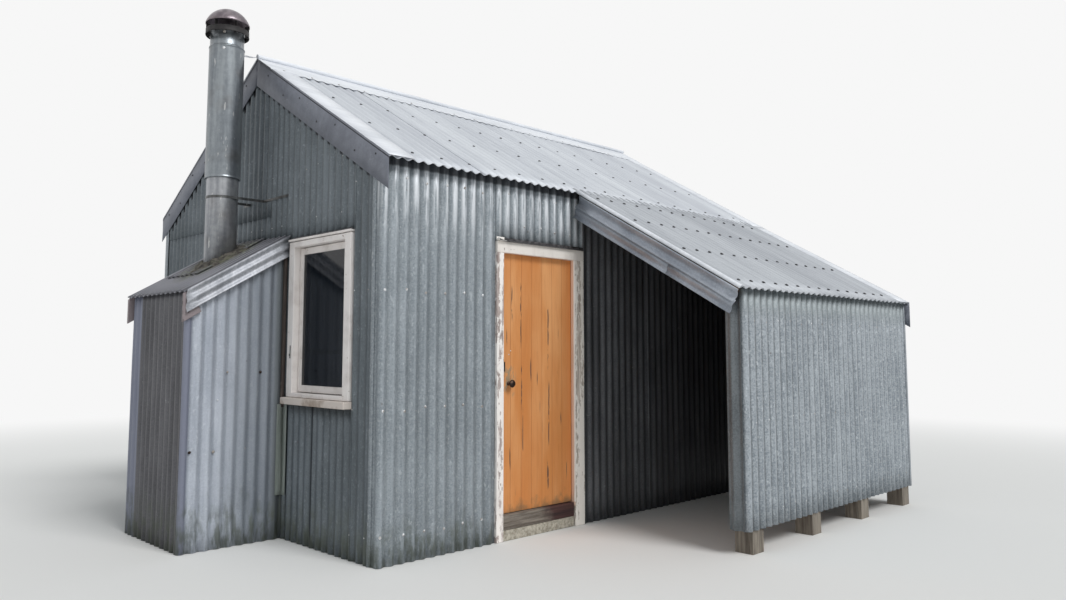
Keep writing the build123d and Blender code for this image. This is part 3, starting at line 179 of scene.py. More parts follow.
# %% Finish
class Finish:
    """One material, built from patterns on the hut's own coordinates."""

    def __init__(self, name):
        self.material = bpy.data.materials.new(name)
        self.material.use_nodes = True
        self.tree = self.material.node_tree
        self.tree.nodes.clear()
        self.place = self.node("ShaderNodeTexCoord").outputs["Object"]

    def node(self, kind, settings=None, sockets=None):
        made = self.tree.nodes.new(kind)
        for key, value in (settings or {}).items():
            setattr(made, key, value)
        for key, value in (sockets or {}).items():
            if isinstance(value, Amount):
                value = value.socket
            if isinstance(value, bpy.types.NodeSocket):
                self.tree.links.new(value, made.inputs[key])
            else:
                made.inputs[key].default_value = value
        return made

    def math(self, operation, one, two):
        made = self.node("ShaderNodeMath", {"operation": operation}, {0: one, 1: two})
        return Amount(self, made.outputs[0])

    def stretched(self, x, y, z):
        """The hut's coordinates, scaled along each axis."""
        made = self.node("ShaderNodeMapping", None, {"Vector": self.place, "Scale": (x, y, z)})
        return made.outputs[0]

    def along(self, axis):
        made = self.node("ShaderNodeSeparateXYZ", None, {0: self.place})
        return Amount(self, made.outputs[axis])

    def away(self, value):
        """How far a number is from nought, whichever its sign."""
        return self.math("ABSOLUTE", value, 0.0)

    def cloud(self, scale, detail, place=None, roughness=0.55, twist=0.0):
        sockets = {"Vector": place or self.place, "Scale": scale, "Detail": detail}
        sockets.update({"Roughness": roughness, "Distortion": twist})
        return Amount(self, self.node("ShaderNodeTexNoise", None, sockets).outputs[0])

    def grains(self, scale):
        """A different number in each small cell, as in zinc spangle."""
        made = self.node("ShaderNodeTexVoronoi", None, {"Vector": self.place, "Scale": scale})
        split = self.node("ShaderNodeSeparateColor", None, {0: made.outputs["Color"]})
        return Amount(self, split.outputs[0])

    def spots(self, scale):
        """Distance to the nearest of many scattered points."""
        made = self.node("ShaderNodeTexVoronoi", None, {"Vector": self.place, "Scale": scale})
        return Amount(self, made.outputs["Distance"])

    def between(self, value, low, high):
        """Eases from nought to one while the value goes from low to high."""
        sockets = {0: value, 1: low, 2: high, 3: 0.0, 4: 1.0}
        made = self.node("ShaderNodeMapRange", {"interpolation_type": "SMOOTHSTEP"}, sockets)
        return Amount(self, made.outputs[0])

    def crests(self, axis, crest):
        """One on each crest of the iron and nought in each trough."""
        turn = (self.along(axis) - crest) * (2 * math.pi / CORRUGATION)
        return self.math("COSINE", turn, 0.0) * 0.5 + 0.5

    def mix(self, factor, under, over):
        settings = {"data_type": "RGBA", "blend_type": "MIX"}
        return self.node("ShaderNodeMix", settings, {0: factor, 6: under, 7: over}).outputs[2]

    def bumps(self, height, depth, strength=1.0):
        """A surface raised by a pattern; depth is in metres."""
        sockets = {"Height": height, "Distance": depth, "Strength": strength}
        return self.node("ShaderNodeBump", None, sockets).outputs[0]

    def done(self, colour, roughness, metal, height=None, depth=0.001):
        """Joins colour, gloss and relief to the surface and gives back the material."""
        sockets = {"Base Color": colour, "Roughness": roughness, "Metallic": metal}
        if height is not None:
            sockets["Normal"] = self.bumps(height, depth)
        surface = self.node("ShaderNodeBsdfPrincipled", None, sockets)
        self.node("ShaderNodeOutputMaterial", None, {0: surface.outputs[0]})
        return self.material


print("patterns:", [word for word in vars(Finish) if not word.startswith("_")])

# %% [markdown]
# The floor is lit and shadowed near the hut, and further off it eases into a plain glow of the
# same grey as the backdrop, so that no horizon shows.

# %% Floor finish
FLOOR_LIT_TO = 4.5
FLOOR_GLOWS_FROM = 12
pale_floor = Finish("studio_floor")
east = pale_floor.along(0)
north = pale_floor.along(1)
far_off = pale_floor.between(east * east + north * north, FLOOR_LIT_TO ** 2, FLOOR_GLOWS_FROM ** 2)
lit = pale_floor.node("ShaderNodeBsdfDiffuse", None, {"Color": shade(236, 236, 234)})
glow_sockets = {"Color": (BACKDROP, BACKDROP, BACKDROP, 1), "Strength": 1.0}
glow = pale_floor.node("ShaderNodeEmission", None, glow_sockets)
blend = pale_floor.node("ShaderNodeMixShader", None, {0: far_off, 1: lit.outputs[0], 2: glow.outputs[0]})
pale_floor.node("ShaderNodeOutputMaterial", None, {0: blend.outputs[0]})
studio_floor.data.materials.append(pale_floor.material)
print("floor fades between", FLOOR_LIT_TO, "and", FLOOR_GLOWS_FROM, "metres")

# %% [markdown]
# The iron is corrugated at 76.2 mm, 17 mm deep, and that wave is the hut's own ruler: sheets,
# laps, nails and even the painted shade in the troughs follow it. The main lines are read from the CAD
# nodes once, so that everything lands where it is carried.

# %% Main lines
CORRUGATION = 0.0762
WAVE_DEPTH = 0.017
SHEET = 0.0012
IRON = WAVE_DEPTH + SHEET
ROOF_PITCH = math.radians(30.6)
SHED_PITCH = math.radians(29.9)
ROOF_COS, ROOF_SIN, ROOF_TAN = math.cos(ROOF_PITCH), math.sin(ROOF_PITCH), math.tan(ROOF_PITCH)
SHED_COS, SHED_SIN, SHED_TAN = math.cos(SHED_PITCH), math.sin(SHED_PITCH), math.tan(SHED_PITCH)
gable_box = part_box("near_gable_wall")
far_gable_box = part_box("far_gable_wall")
front_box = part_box("front_wall_near")
over_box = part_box("front_wall_over_door")
bay_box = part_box("front_wall_far")
rear_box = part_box("rear_wall")
roof_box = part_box("roof_front")
rear_roof_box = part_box("roof_rear")
shed_roof_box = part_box("shed_roof")
shed_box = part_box("shed_walls")
alcove_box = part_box("alcove_walls")
window_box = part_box("window_frame")
ridge_y = (front_box[0].y + rear_box[1].y) / 2
eave_z = roof_box[0].z + IRON * ROOF_COS
ridge_z = eave_z + (ridge_y - roof_box[0].y) * ROOF_TAN
near_x = gable_box[0].x
far_x = far_gable_box[1].x
flue_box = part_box("flue_pipe")
FLUE_MIDDLE = (flue_box[0] + flue_box[1]) / 2
BARGE_DEPTH = 0.178
TOP_LAP_Y = ridge_y - 0.26
UNDER_LAP_Y = window_box[0].y + 0.43
print("ridge height:", round(ridge_z, 3), "eave height:", round(eave_z, 3))

# %% [markdown]
# Each wall and roof has its own row of crests, because its first sheet was set from its own
# corner. One crest is enough to place them all.

# %% Crests
front_back = front_box[0].y + IRON
gable_back = near_x + IRON
front_crest = front_box[1].x - 0.625 * CORRUGATION
rear_crest = rear_box[1].x - 0.4 * CORRUGATION
gable_crest = front_box[0].y + 0.625 * CORRUGATION
far_gable_crest = front_box[0].y + 0.4 * CORRUGATION
shed_crest = shed_box[0].x + 0.006 + 0.5 * CORRUGATION
alcove_crest = alcove_box[0].x + 0.3 * CORRUGATION
alcove_end_crest = alcove_box[1].y - 0.5 * CORRUGATION
roof_crest = roof_box[0].x + 0.375 * CORRUGATION
rear_roof_crest = rear_roof_box[1].x - 0.625 * CORRUGATION
shed_roof_crest = shed_roof_box[0].x + 0.375 * CORRUGATION
alcove_roof_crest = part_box("alcove_roof")[1].y - 0.3 * CORRUGATION
print("crests across the main roof:", round((far_x - near_x) / CORRUGATION))

# %% [markdown]
# Old galvanised iron is never one grey. Besides its mottled zinc it carries marks in fixed
# places: white drips with a painted highlight on the crests under the eave and a painted shadow
# at its edge, a painted shadow line where a sheet laps the next, painted shade in the hollows
# under the barge and green damp along the foot. Each mark is one helper that lays its colour
# over what is there.

# %% Marks on the iron
HEIGHT_AXIS = 2


def eave_marks(iron, colour, crest, eave):
    """White drips with a painted highlight that run down the crests from the eave, and the painted shadow
    line at its edge.
    """
    height = iron.along(HEIGHT_AXIS)
    drip = iron.between(iron.cloud(46, 3, iron.stretched(1, 1, 0.08)), 0.38, 0.56)
    # White drips on the crests under the eave, with a painted highlight in them.
    white = iron.between(height, eave - 0.55, eave - 0.04) * drip * iron.between(crest, 0.15, 0.8)
    colour = iron.mix(white * 0.85, colour, shade(236, 240, 244))
    # A painted shadow just under the eave's edge.
    return iron.mix(iron.between(height, eave - 0.03, eave - 0.012) * 0.8, colour, shade(40, 40, 46))


def lap_shadow_line(iron, colour, axis, place, low, high):
    """A painted shadow: a dark upright line where two sheets lap, between two heights."""
    aside = iron.away(iron.along(axis) - place)
    height = iron.along(HEIGHT_AXIS)
    inside = iron.between(height, low, low + 0.02) * iron.between(height, high, high - 0.02)
    return iron.mix(iron.between(aside, 0.013, 0.007) * inside * 0.9, colour, shade(26, 30, 36))


def barge_hollow_shade(iron, colour, crest, under):
    """Painted shade: dark gaps in the troughs along the lower edge of the barge."""
    fall = iron.away(iron.along(1) - ridge_y) * ROOF_TAN
    rise = iron.along(HEIGHT_AXIS) + fall
    hollow = iron.between(rise, under - 0.03, under - 0.018) * iron.between(crest, 0.6, 0.3)
    return iron.mix(hollow * 0.9, colour, shade(20, 22, 28))


def green_foot(iron, colour, foot):
    """Damp and green stain that climbs from the ground."""
    stain = iron.between(iron.along(HEIGHT_AXIS) + iron.cloud(9, 4) * 0.5, foot + 0.42, foot + 0.1)
    damp = stain * iron.between(iron.cloud(30, 4, iron.stretched(1, 1, 0.25)), 0.35, 0.6)
    return iron.mix(damp * 0.75, colour, shade(84, 90, 78))


print("marks: eave, laps, hollows under the barge, foot")

# %% [markdown]
# Zinc spangle mottles the iron in patches of a centimetre or so, rain draws faint streaks down
# it, painted shade with some dirt darkens the troughs, a painted highlight lightens the crests,
# and white bloom gathers on the rest. One function makes the finish for every wall, from a light
# and a dark grey and the direction in which water runs.

# %% Galvanised iron
def galvanised(name, light, dark, ribs=None, run=(1, 1, 0.07), mottle=0.5, foot=0.0, soot=0.0, shine=0.3,
               trough_shading=0.3, crest_highlight=0.3, fleck=0.0, eave=None, deep_shade=None, under=None, edges=(), lap_shadows=()):
    """ribs is the axis and one crest of the waves; painted shade with some dirt darkens the troughs and a
    painted highlight lightens the crests.
    """
    iron = Finish(name)
    fine = iron.cloud(75, 5, roughness=0.7)
    spangle = iron.grains(120)
    patch = iron.cloud(3.1, 3)
    streak = iron.cloud(26, 4, iron.stretched(*run), roughness=0.65)
    broad = iron.cloud(5, 3, iron.stretched(*run))
    tone = fine * (0.45 * mottle) + spangle * (0.2 * mottle) + streak * 0.4 + broad * 0.3 + patch * 0.3
    level = 0.325 * mottle + 0.5
    colour = iron.mix(iron.between(tone, level - 0.19, level + 0.19), dark, light)
    if ribs:
        crest = iron.crests(*ribs)
        # Painted shade with streaky dirt in the troughs; a negative share paints them lighter instead.
        trough_shade_and_dirt = iron.between(crest, 0.28, 0.0) * (streak * 0.6 + trough_shading)
        colour = iron.mix(trough_shade_and_dirt, colour, shade(70, 74, 76))
        # A painted highlight along the crests.
        rubbed = iron.between(crest, 0.72, 1.0) * crest_highlight
        colour = iron.mix(rubbed, colour, light)
    bloom = iron.between(iron.cloud(9, 5, roughness=0.75), 0.6, 0.74) * iron.between(spangle, 0.3, 0.8)
    colour = iron.mix(bloom * 0.3, colour, shade(214, 218, 220))
    pinhole = 1 - iron.between(iron.spots(7), 0.03, 0.06)
    colour = iron.mix(pinhole * 0.4, colour, shade(92, 72, 58))
    if fleck:
        drip = iron.between(iron.cloud(70, 3, iron.stretched(1, 1, 0.4), roughness=0.6), 0.58, 0.68)
        colour = iron.mix(drip * fleck, colour, shade(222, 228, 232))
    if eave:
        colour = eave_marks(iron, colour, crest, eave)
    for axis, start, end, over, share in edges:
        colour = iron.mix(iron.between(iron.along(axis), start, end) * share, colour, over)
    # Painted shadow lines where the sheets lap.
    for seam in lap_shadows:
        colour = lap_shadow_line(iron, colour, *seam)
    # Painted shade in the troughs under the barge.
    if under:
        colour = barge_hollow_shade(iron, colour, crest, under)
    # Painted shade that deepens along x.
    if deep_shade:
        colour = iron.mix(iron.between(iron.along(0), *deep_shade) * 0.7, colour, shade(22, 22, 25))
    if foot:
        colour = green_foot(iron, colour, foot)
    if soot:
        smoke = iron.between(iron.cloud(7, 4, iron.stretched(*run)), 0.42, 0.7)
        colour = iron.mix(smoke * soot, colour, shade(52, 52, 54))
    rough = 0.4 + fine * 0.22 + bloom * 0.15
    dents = fine * 0.2 + iron.cloud(6, 2) * 2.2
    return iron.done(colour, rough, shine, dents, 0.0012)


WALL_FOOT = 0.12
front_finish = galvanised("front_iron", shade(160, 168, 174), shade(122, 130, 136), (0, front_crest),
                          mottle=0.8, foot=WALL_FOOT, trough_shading=-0.08, fleck=0.28, eave=roof_box[0].z)
rear_finish = galvanised("rear_iron", shade(180, 187, 192), shade(122, 129, 134), (0, rear_crest),
                         foot=WALL_FOOT)
BARGE_EDGE = ridge_z - BARGE_DEPTH / ROOF_COS
GABLE_LAP_SHADOWS = ((1, UNDER_LAP_Y, 0.0, window_box[0].z), (1, TOP_LAP_Y, window_box[1].z, ridge_z))
# The near gable's iron is a darker copy of the walls' iron: painted shade for this dim side.
shaded_gable_finish = galvanised("gable_iron", shade(117, 125, 131), shade(84, 92, 97), (1, gable_crest), mottle=0.4,
                          foot=0.16, trough_shading=0.0, crest_highlight=0.0, fleck=0.1, under=BARGE_EDGE, lap_shadows=GABLE_LAP_SHADOWS)
far_finish = galvanised("far_gable_iron", shade(170, 177, 182), shade(118, 125, 130), (1, far_gable_crest),
                        foot=WALL_FOOT)
print("body finishes:", [made.name for made in (front_finish, rear_finish, shaded_gable_finish, far_finish)])

# %% [markdown]
# The woodshed's iron is paler, with a darker grey-green band just under its eave. Inside the
# open bay the iron is painted dark for the shade there, with soot over it, and painted darker
# still the deeper it lies.

# %% Woodshed iron
# A darker grey-green band just under the eave.
SHED_EDGES = ((2, shed_roof_box[0].z - 0.2, shed_roof_box[0].z - 0.06, shade(122, 130, 130), 0.6),)
shed_finish = galvanised("shed_iron", shade(174, 181, 187), shade(126, 134, 141), (0, shed_crest), mottle=1.0,
                         trough_shading=0.2, fleck=0.4, edges=SHED_EDGES)
# The return is a darker copy of the shed's iron: painted shade.
shaded_return_finish = galvanised("shed_return_iron", shade(128, 134, 138), shade(88, 94, 98), mottle=0.6)
angle_finish = galvanised("angle_iron", shade(168, 175, 181), shade(124, 131, 137), mottle=0.7)
shed_end_finish = galvanised("shed_end_iron", shade(172, 179, 184), shade(120, 127, 132),
                             (1, far_gable_crest))
ALONG_SLOPE = (1, 0.15, 0.15)
shed_strip_finish = galvanised("shed_strip_iron", shade(188, 194, 203), shade(136, 143, 154), None,
                               ALONG_SLOPE, 0.4, shine=0.45)
BAY_SHADE = (0.4, 1.7)
# Painted shade inside the open bay, darker with depth, with soot over it.
shaded_bay_finish = galvanised("bay_iron", shade(112, 114, 118), shade(66, 68, 72), (0, front_crest), soot=0.5,
                        deep_shade=BAY_SHADE)
print("the bay darkens between x =", BAY_SHADE)

# %% [markdown]
# The alcove is the bluest and brightest wall. Painted shade gives it a cool band at its corner
# and a darker end by the gable, and its end wall is painted darker for shade, with soot over it.
# The barges are flat iron, darkest at the ridge, with a black line of painted shade along the fold.

# %% Alcove and barge iron
# Painted shade: a cool band on the bend at the far corner, and darkening towards the inside corner by the
# gable.
ALCOVE_SHADE_BANDS = ((0, alcove_box[0].x + 0.12, near_x - 0.16, shade(96, 104, 112), 0.6),
                (0, alcove_box[0].x + 0.055, alcove_box[0].x + 0.035, shade(112, 116, 134), 0.85),
                (0, near_x - 0.085, near_x - 0.05, shade(74, 80, 80), 0.7))
alcove_finish = galvanised("alcove_iron", shade(197, 203, 213), shade(160, 167, 178), mottle=0.35, foot=0.2,
                           fleck=0.3, edges=ALCOVE_SHADE_BANDS)
# The end wall is a darker copy of the alcove's iron: painted shade, with soot.
shaded_alcove_end_finish = galvanised("alcove_end_iron", shade(108, 108, 112), shade(78, 78, 82),
                               (1, alcove_end_crest), foot=0.2, soot=0.35)
strip_finish = galvanised("strip_iron", shade(212, 214, 220), shade(158, 162, 169), None, ALONG_SLOPE, 0.5,
                          soot=0.25, shine=0.3)
NO_RUN = (0.4, 0.4, 0.4)
RIDGE_DARK = ((2, ridge_z - 0.34, ridge_z - 0.04, shade(58, 60, 68), 0.55),)
# A narrow dark strip: painted shade for the crease under the barge's fold.
crease_shade_finish = galvanised("fold_iron", shade(66, 68, 74), shade(48, 50, 56), None, NO_RUN, 0.3)
barge_finish = galvanised("barge_iron", shade(132, 136, 146), shade(104, 108, 118), None, NO_RUN, 0.3,
                          edges=RIDGE_DARK)
print("iron finishes so far:", len(bpy.data.materials) - 1)

# %% [markdown]
# The roof is the brightest part: weathered almost white, with faint runs from the ridge to the
# eave and painted shade in the troughs that is only a little cooler.

# %% Roof iron
def roof_iron(name, light, dark, run, ribs=None):
    iron = Finish(name)
    streak = iron.cloud(30, 4, iron.stretched(*run), roughness=0.65)
    broad = iron.cloud(4, 3, iron.stretched(*run))
    fine = iron.cloud(90, 4, roughness=0.7)
    tone = streak * 0.4 + broad * 0.5 + fine * 0.2
    colour = iron.mix(iron.between(tone, 0.4, 0.7), dark, light)
    if ribs:
        # Painted shade in the troughs.
        trough = iron.between(iron.crests(*ribs), 0.45, 0.0)
        colour = iron.mix(trough * 0.22, colour, shade(160, 166, 172))
    speck = 1 - iron.between(iron.spots(14), 0.03, 0.07)
    colour = iron.mix(speck * 0.3, colour, shade(140, 138, 132))
    return iron.done(colour, 0.45 + fine * 0.2, 0.15, fine * 0.3 + iron.cloud(5, 2) * 2.0, 0.001)


ROOF_LIGHT = shade(214, 218, 223)
ROOF_DARK = shade(190, 194, 201)
DOWN_SLOPE = (1, 0.06, 0.06)
roof_finish = roof_iron("roof_iron", ROOF_LIGHT, ROOF_DARK, DOWN_SLOPE, (0, roof_crest))
rear_roof_finish = roof_iron("rear_roof_iron", ROOF_LIGHT, ROOF_DARK, DOWN_SLOPE, (0, rear_roof_crest))
shed_roof_finish = roof_iron("shed_roof_iron", shade(191, 195, 200), shade(165, 169, 175), DOWN_SLOPE,
                             (0, shed_roof_crest))
cap_finish = roof_iron("ridge_iron", shade(234, 237, 242), shade(210, 214, 220), (0.2, 1, 1))
print("roof finishes:", [made.name for made in (roof_finish, rear_roof_finish, shed_roof_finish, cap_finish)])

# %% [markdown]
# The alcove's own roof is older. Its ribs stand out, with a painted highlight on the crest and
# painted shade on the front flank, and green and yellow lichen gathers round the flue.

# %% Alcove roof iron
def mossy_iron(name):
    iron = Finish(name)
    streak = iron.cloud(24, 4, iron.stretched(0.12, 1, 0.12), roughness=0.65)
    colour = iron.mix(iron.between(streak, 0.3, 0.7), shade(98, 98, 104), shade(146, 146, 154))
    rinsed = iron.between(iron.along(0), alcove_box[0].x + 0.33, alcove_box[0].x + 0.1)
    colour = iron.mix(rinsed * 0.25, colour, shade(180, 182, 190))
    crest = iron.crests(1, alcove_roof_crest)
    shaded_flank = iron.crests(1, alcove_roof_crest - 0.2 * CORRUGATION)
    # Painted shade on the front flank and a painted highlight on the crest.
    colour = iron.mix(iron.between(shaded_flank, 0.8, 0.95) * 0.6, colour, shade(60, 60, 66))
    colour = iron.mix(iron.between(crest, 0.93, 0.99) * 0.6, colour, shade(214, 216, 224))
    x_from_flue = iron.along(0) - FLUE_MIDDLE.x
    y_from_flue = iron.along(1) - FLUE_MIDDLE.y
    spread = x_from_flue * x_from_flue + y_from_flue * y_from_flue
    near = iron.between(spread + iron.cloud(14, 4) * 0.08, 0.16, 0.05)
    colour = iron.mix(near * 0.6, colour, shade(78, 76, 74))
    moss = iron.between(iron.cloud(38, 5, roughness=0.7), 0.42, 0.56) * near
    colour = iron.mix(moss * 0.7, colour, shade(104, 108, 96))
    crust = iron.between(iron.cloud(60, 4), 0.52, 0.62) * near
    colour = iron.mix(crust * 0.6, colour, shade(164, 168, 152))
    return iron.done(colour, 0.55 + moss * 0.35, 0.2, moss * 1.5 + iron.cloud(90, 3) * 0.2, 0.002)


moss_finish = mossy_iron("alcove_roof_iron")
print("moss spreads from the flue at x =", round(FLUE_MIDDLE.x, 2), "y =", round(FLUE_MIDDLE.y, 2))

# %% [markdown]
# The timber comes in four kinds: rough sawn framing that has only aged, posts gone grey near
# the ground, white paint that has flaked off the door frame down to grey wood, and the cream
# paint of the window, still whole but dull. Paint that flakes stands a little proud of the
# wood, so the same mask that picks the colour also lifts the surface.

# %% Timber
def sawn(name, light, dark, run):
    wood = Finish(name)
    grain = wood.cloud(70, 5, wood.stretched(*run), roughness=0.65)
    band = wood.cloud(9, 3, wood.stretched(*run), twist=0.6)
    colour = wood.mix(wood.between(grain * 0.6 + band * 0.5, 0.35, 0.75), dark, light)
    stain = wood.between(wood.cloud(3, 3), 0.5, 0.75)
    colour = wood.mix(stain * 0.4, colour, dark)
    return wood.done(colour, 0.78, 0.0, grain, 0.0012)


def flaking(name, paint, wood_light, wood_dark, run, left):
    """Paint over wood: left is the share of paint that is still on."""
    wood = Finish(name)
    grain = wood.cloud(80, 5, wood.stretched(*run), roughness=0.7)
    bare = wood.mix(wood.between(grain, 0.32, 0.66), wood_dark, wood_light)
    flakes = wood.cloud(11, 5, wood.stretched(*run), roughness=0.72, twist=0.35)
    chips = wood.cloud(46, 4, wood.stretched(1, 1, 0.4), roughness=0.6)
    mask = flakes * 0.7 + chips * 0.3
    cut = 0.62 - left * 0.26
    on = wood.between(mask, cut - 0.012, cut + 0.012)
    dirt = wood.cloud(16, 4, wood.stretched(1, 1, 0.3))
    coat = wood.mix(wood.between(dirt, 0.45, 0.75) * 0.25, paint, wood_light)
    return wood.done(wood.mix(on, bare, coat), 0.8 - on * 0.25, 0.0, on * 1.2 + grain * 0.35, 0.0012)


def cream(name, paint, dirt, soiled=0.5):
    wood = Finish(name)
    grain = wood.cloud(60, 4, wood.stretched(1, 1, 0.15), roughness=0.6)
    soil = wood.between(wood.cloud(8, 4), 0.42, 0.7)
    colour = wood.mix(soil * soiled, paint, dirt)
    chip = wood.between(wood.cloud(30, 4, roughness=0.7), 0.66, 0.69)
    colour = wood.mix(chip * 0.8, colour, shade(166, 152, 138))
    return wood.done(colour, 0.55 + soil * 0.15, 0.0, grain * 0.5 - chip, 0.0008)


print("kinds of timber:", [kind.__name__ for kind in (sawn, flaking, cream)])

# %% [markdown]
# Bare wood takes a light and a dark tone, and painted wood takes the paint first. The numbers
# after the tones say which way the grain runs and how much paint is left: half on the jambs,
# nearly all on the head and the bead.

# %% Timber finishes
UPRIGHT = (1, 1, 0.07)
CROSSWISE = (0.07, 1, 1)
frame_finish = sawn("frame_timber", shade(128, 104, 78), shade(84, 66, 48), (1, 1, 0.1))
floor_finish = sawn("floor_timber", shade(112, 92, 70), shade(70, 56, 44), CROSSWISE)
post_finish = sawn("post_timber", shade(150, 142, 130), shade(82, 74, 66), UPRIGHT)
jamb_finish = flaking("white_jamb", shade(255, 250, 245), shade(206, 193, 188), shade(138, 122, 116),
                      UPRIGHT, 0.5)
far_jamb_finish = flaking("grey_jamb", shade(255, 250, 242), shade(230, 221, 210), shade(160, 147, 136),
                          UPRIGHT, 0.5)
head_finish = flaking("white_head", shade(242, 236, 229), shade(176, 166, 158), shade(120, 108, 98),
                      CROSSWISE, 0.85)
bead_finish = flaking("white_bead", shade(248, 244, 238), shade(190, 180, 172), shade(140, 126, 116),
                      UPRIGHT, 0.85)
reveal_finish = flaking("reveal", shade(232, 204, 184), shade(180, 154, 134), shade(120, 98, 82),
                        UPRIGHT, 0.85)
verge_board_finish = flaking("verge_board", shade(142, 132, 134), shade(114, 105, 106), shade(86, 79, 80),
                             (0.1, 1, 0.1), 0.7)
brown_finish = flaking("cover_strip", shade(108, 97, 92), shade(82, 72, 67), shade(56, 49, 46), UPRIGHT, 0.3)
window_finish = cream("window_paint", shade(244, 239, 236), shade(208, 200, 195))
sash_finish = cream("sash_paint", shade(232, 226, 222), shade(192, 184, 178))
window_sill_finish = cream("sill_paint_cream", shade(214, 204, 196), shade(150, 132, 116), 0.9)
print("finishes so far:", len(bpy.data.materials))

# %% [markdown]
# The door is the one warm colour: seven upright boards in old orange paint. The paint has
# split along the grain into long dark cracks, listed here by their place across the leaf and
# the heights of their two ends. It has worn thin round the knob and gone green and grey along
# the foot.

# %% Wear of the door
LEAF_BOARDS = 7
KNOB_IN = 0.08
KNOB_HEIGHT = 1.05
SPLITS = ((-0.608, 1.24, 1.73), (-0.692, 1.42, 1.69), (-0.343, 1.09, 1.63), (-0.707, 0.43, 0.61),
          (-0.511, 1.01, 1.2), (-0.334, 0.56, 1.04), (-0.212, 0.7, 0.82), (-0.6, 0.82, 1.2),
          (-0.74, 1.25, 1.4), (-0.35, 0.3, 0.5))


def paint_splits(wood):
    """One along every crack in the paint, and nought beside it."""
    height = wood.along(HEIGHT_AXIS)
    drawn = wood.cloud(52, 3, wood.stretched(1, 1, 0.03), roughness=0.5)
    where = wood.cloud(6, 3, wood.stretched(1, 1, 0.45))
    split = wood.between(drawn, 0.66, 0.69) * wood.between(where, 0.47, 0.56)
    wobble = (wood.cloud(7, 3, wood.stretched(0.01, 1, 1)) - 0.5) * 0.014
    for place, foot, head in SPLITS:
        aside = wood.away(wood.along(0) + wobble - place)
        ends = wood.between(height, foot, foot + 0.07) * wood.between(height, head, head - 0.07)
        split = wood.math("MAXIMUM", split, wood.between(aside, 0.0065, 0.0025) * ends)
    broken = wood.between(wood.cloud(26, 4, wood.stretched(1, 1, 0.4)), 0.36, 0.5)
    return split * broken


def worn_paint(wood, colour, low):
    """Green and grey along the foot, and rubbed pale round the knob."""
    height = wood.along(HEIGHT_AXIS)
    worn = wood.between(height - low.z + wood.cloud(14, 4) * 0.25, 0.2, 0.1)
    colour = wood.mix(worn * 0.65, colour, shade(122, 104, 78))
    aside = wood.along(0) - (low.x + KNOB_IN)
    above = height - KNOB_HEIGHT
    reach = aside * aside * 5.0 + above * above
    rubbed = wood.between(reach + wood.cloud(22, 4) * 0.03, 0.045, 0.015)
    chipped = wood.between(wood.cloud(40, 4, wood.stretched(1, 1, 0.3)), 0.5, 0.56)
    return wood.mix(rubbed * chipped * 0.8, colour, shade(150, 142, 120))


print("splits in the paint:", len(SPLITS))

# %% [markdown]
# Each board takes its own slight tone from its place across the leaf: the whole number of
# boards to its left feeds a noise that gives every board one value of its own.

# %% Orange door paint
def door_paint(name, leaf):
    low, high = leaf
    board = (high.x - low.x) / LEAF_BOARDS
    wood = Finish(name)
    across = (wood.along(0) - low.x) / board
    number = wood.math("FLOOR", across, 0.0)
    tone = wood.node("ShaderNodeTexWhiteNoise", {"noise_dimensions": "1D"}, {"W": number + 3.7})
    grain = wood.cloud(120, 5, wood.stretched(1, 1, 0.035), roughness=0.7)
    fade = wood.cloud(5, 3, wood.stretched(1, 1, 0.3))
    light = wood.mix(wood.between(fade, 0.35, 0.7), shade(216, 142, 79), shade(231, 167, 109))
    colour = wood.mix(Amount(wood, tone.outputs[0]) * 0.45, light, shade(208, 130, 68))
    colour = wood.mix(wood.between(grain, 0.48, 0.72) * 0.35, colour, shade(186, 112, 60))
    crack = paint_splits(wood)
    colour = wood.mix(crack * 0.9, colour, shade(92, 76, 66))
    colour = worn_paint(wood, colour, low)
    seam = wood.away(wood.math("FRACT", across + 0.5, 0.0) - 0.5)
    line = wood.between(seam, 0.03, 0.008)
    colour = wood.mix(line * 0.3, colour, shade(130, 84, 54))
    return wood.done(colour, 0.62 + crack * 0.2, 0.0, grain * 0.4 - crack * 1.6, 0.001)


door_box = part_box("door_leaf")
door_finish = door_paint("door_boards", door_box)
print("door boards are", round((door_box[1].x - door_box[0].x) / LEAF_BOARDS, 3), "wide")

# %% [markdown]
# The small metal comes next: the dark worn knob and hinges, lead-grey nail heads, and the sooty
# flue with its white drips.

# %% Small metal
def dark_metal(name):
    metal = Finish(name)
    wear = metal.cloud(60, 4, roughness=0.65)
    colour = metal.mix(metal.between(wear, 0.45, 0.65), shade(46, 36, 32), shade(96, 74, 60))
    return metal.done(colour, 0.34 + wear * 0.3, 0.6, wear, 0.0004)


def nail_metal(name, light, dark):
    metal = Finish(name)
    wear = metal.cloud(40, 3)
    return metal.done(metal.mix(metal.between(wear, 0.4, 0.6), dark, light), 0.6, 0.2)


def flue_iron(name, light, dark, drips=0.0):
    metal = Finish(name)
    streak = metal.cloud(20, 4, metal.stretched(1, 1, 0.08), roughness=0.6)
    mottle = metal.cloud(30, 4, roughness=0.65)
    colour = metal.mix(metal.between(streak * 0.7 + mottle * 0.3, 0.3, 0.7), dark, light)
    smoke = metal.between(metal.cloud(4, 3), 0.5, 0.72)
    colour = metal.mix(smoke * 0.35, colour, shade(94, 84, 76))
    if drips:
        run = metal.between(metal.cloud(42, 3, metal.stretched(1, 1, 0.2)), 0.67, 0.71)
        colour = metal.mix(run * drips, colour, shade(214, 214, 212))
    return metal.done(colour, 0.26 + mottle * 0.16, 0.75, mottle, 0.0003)


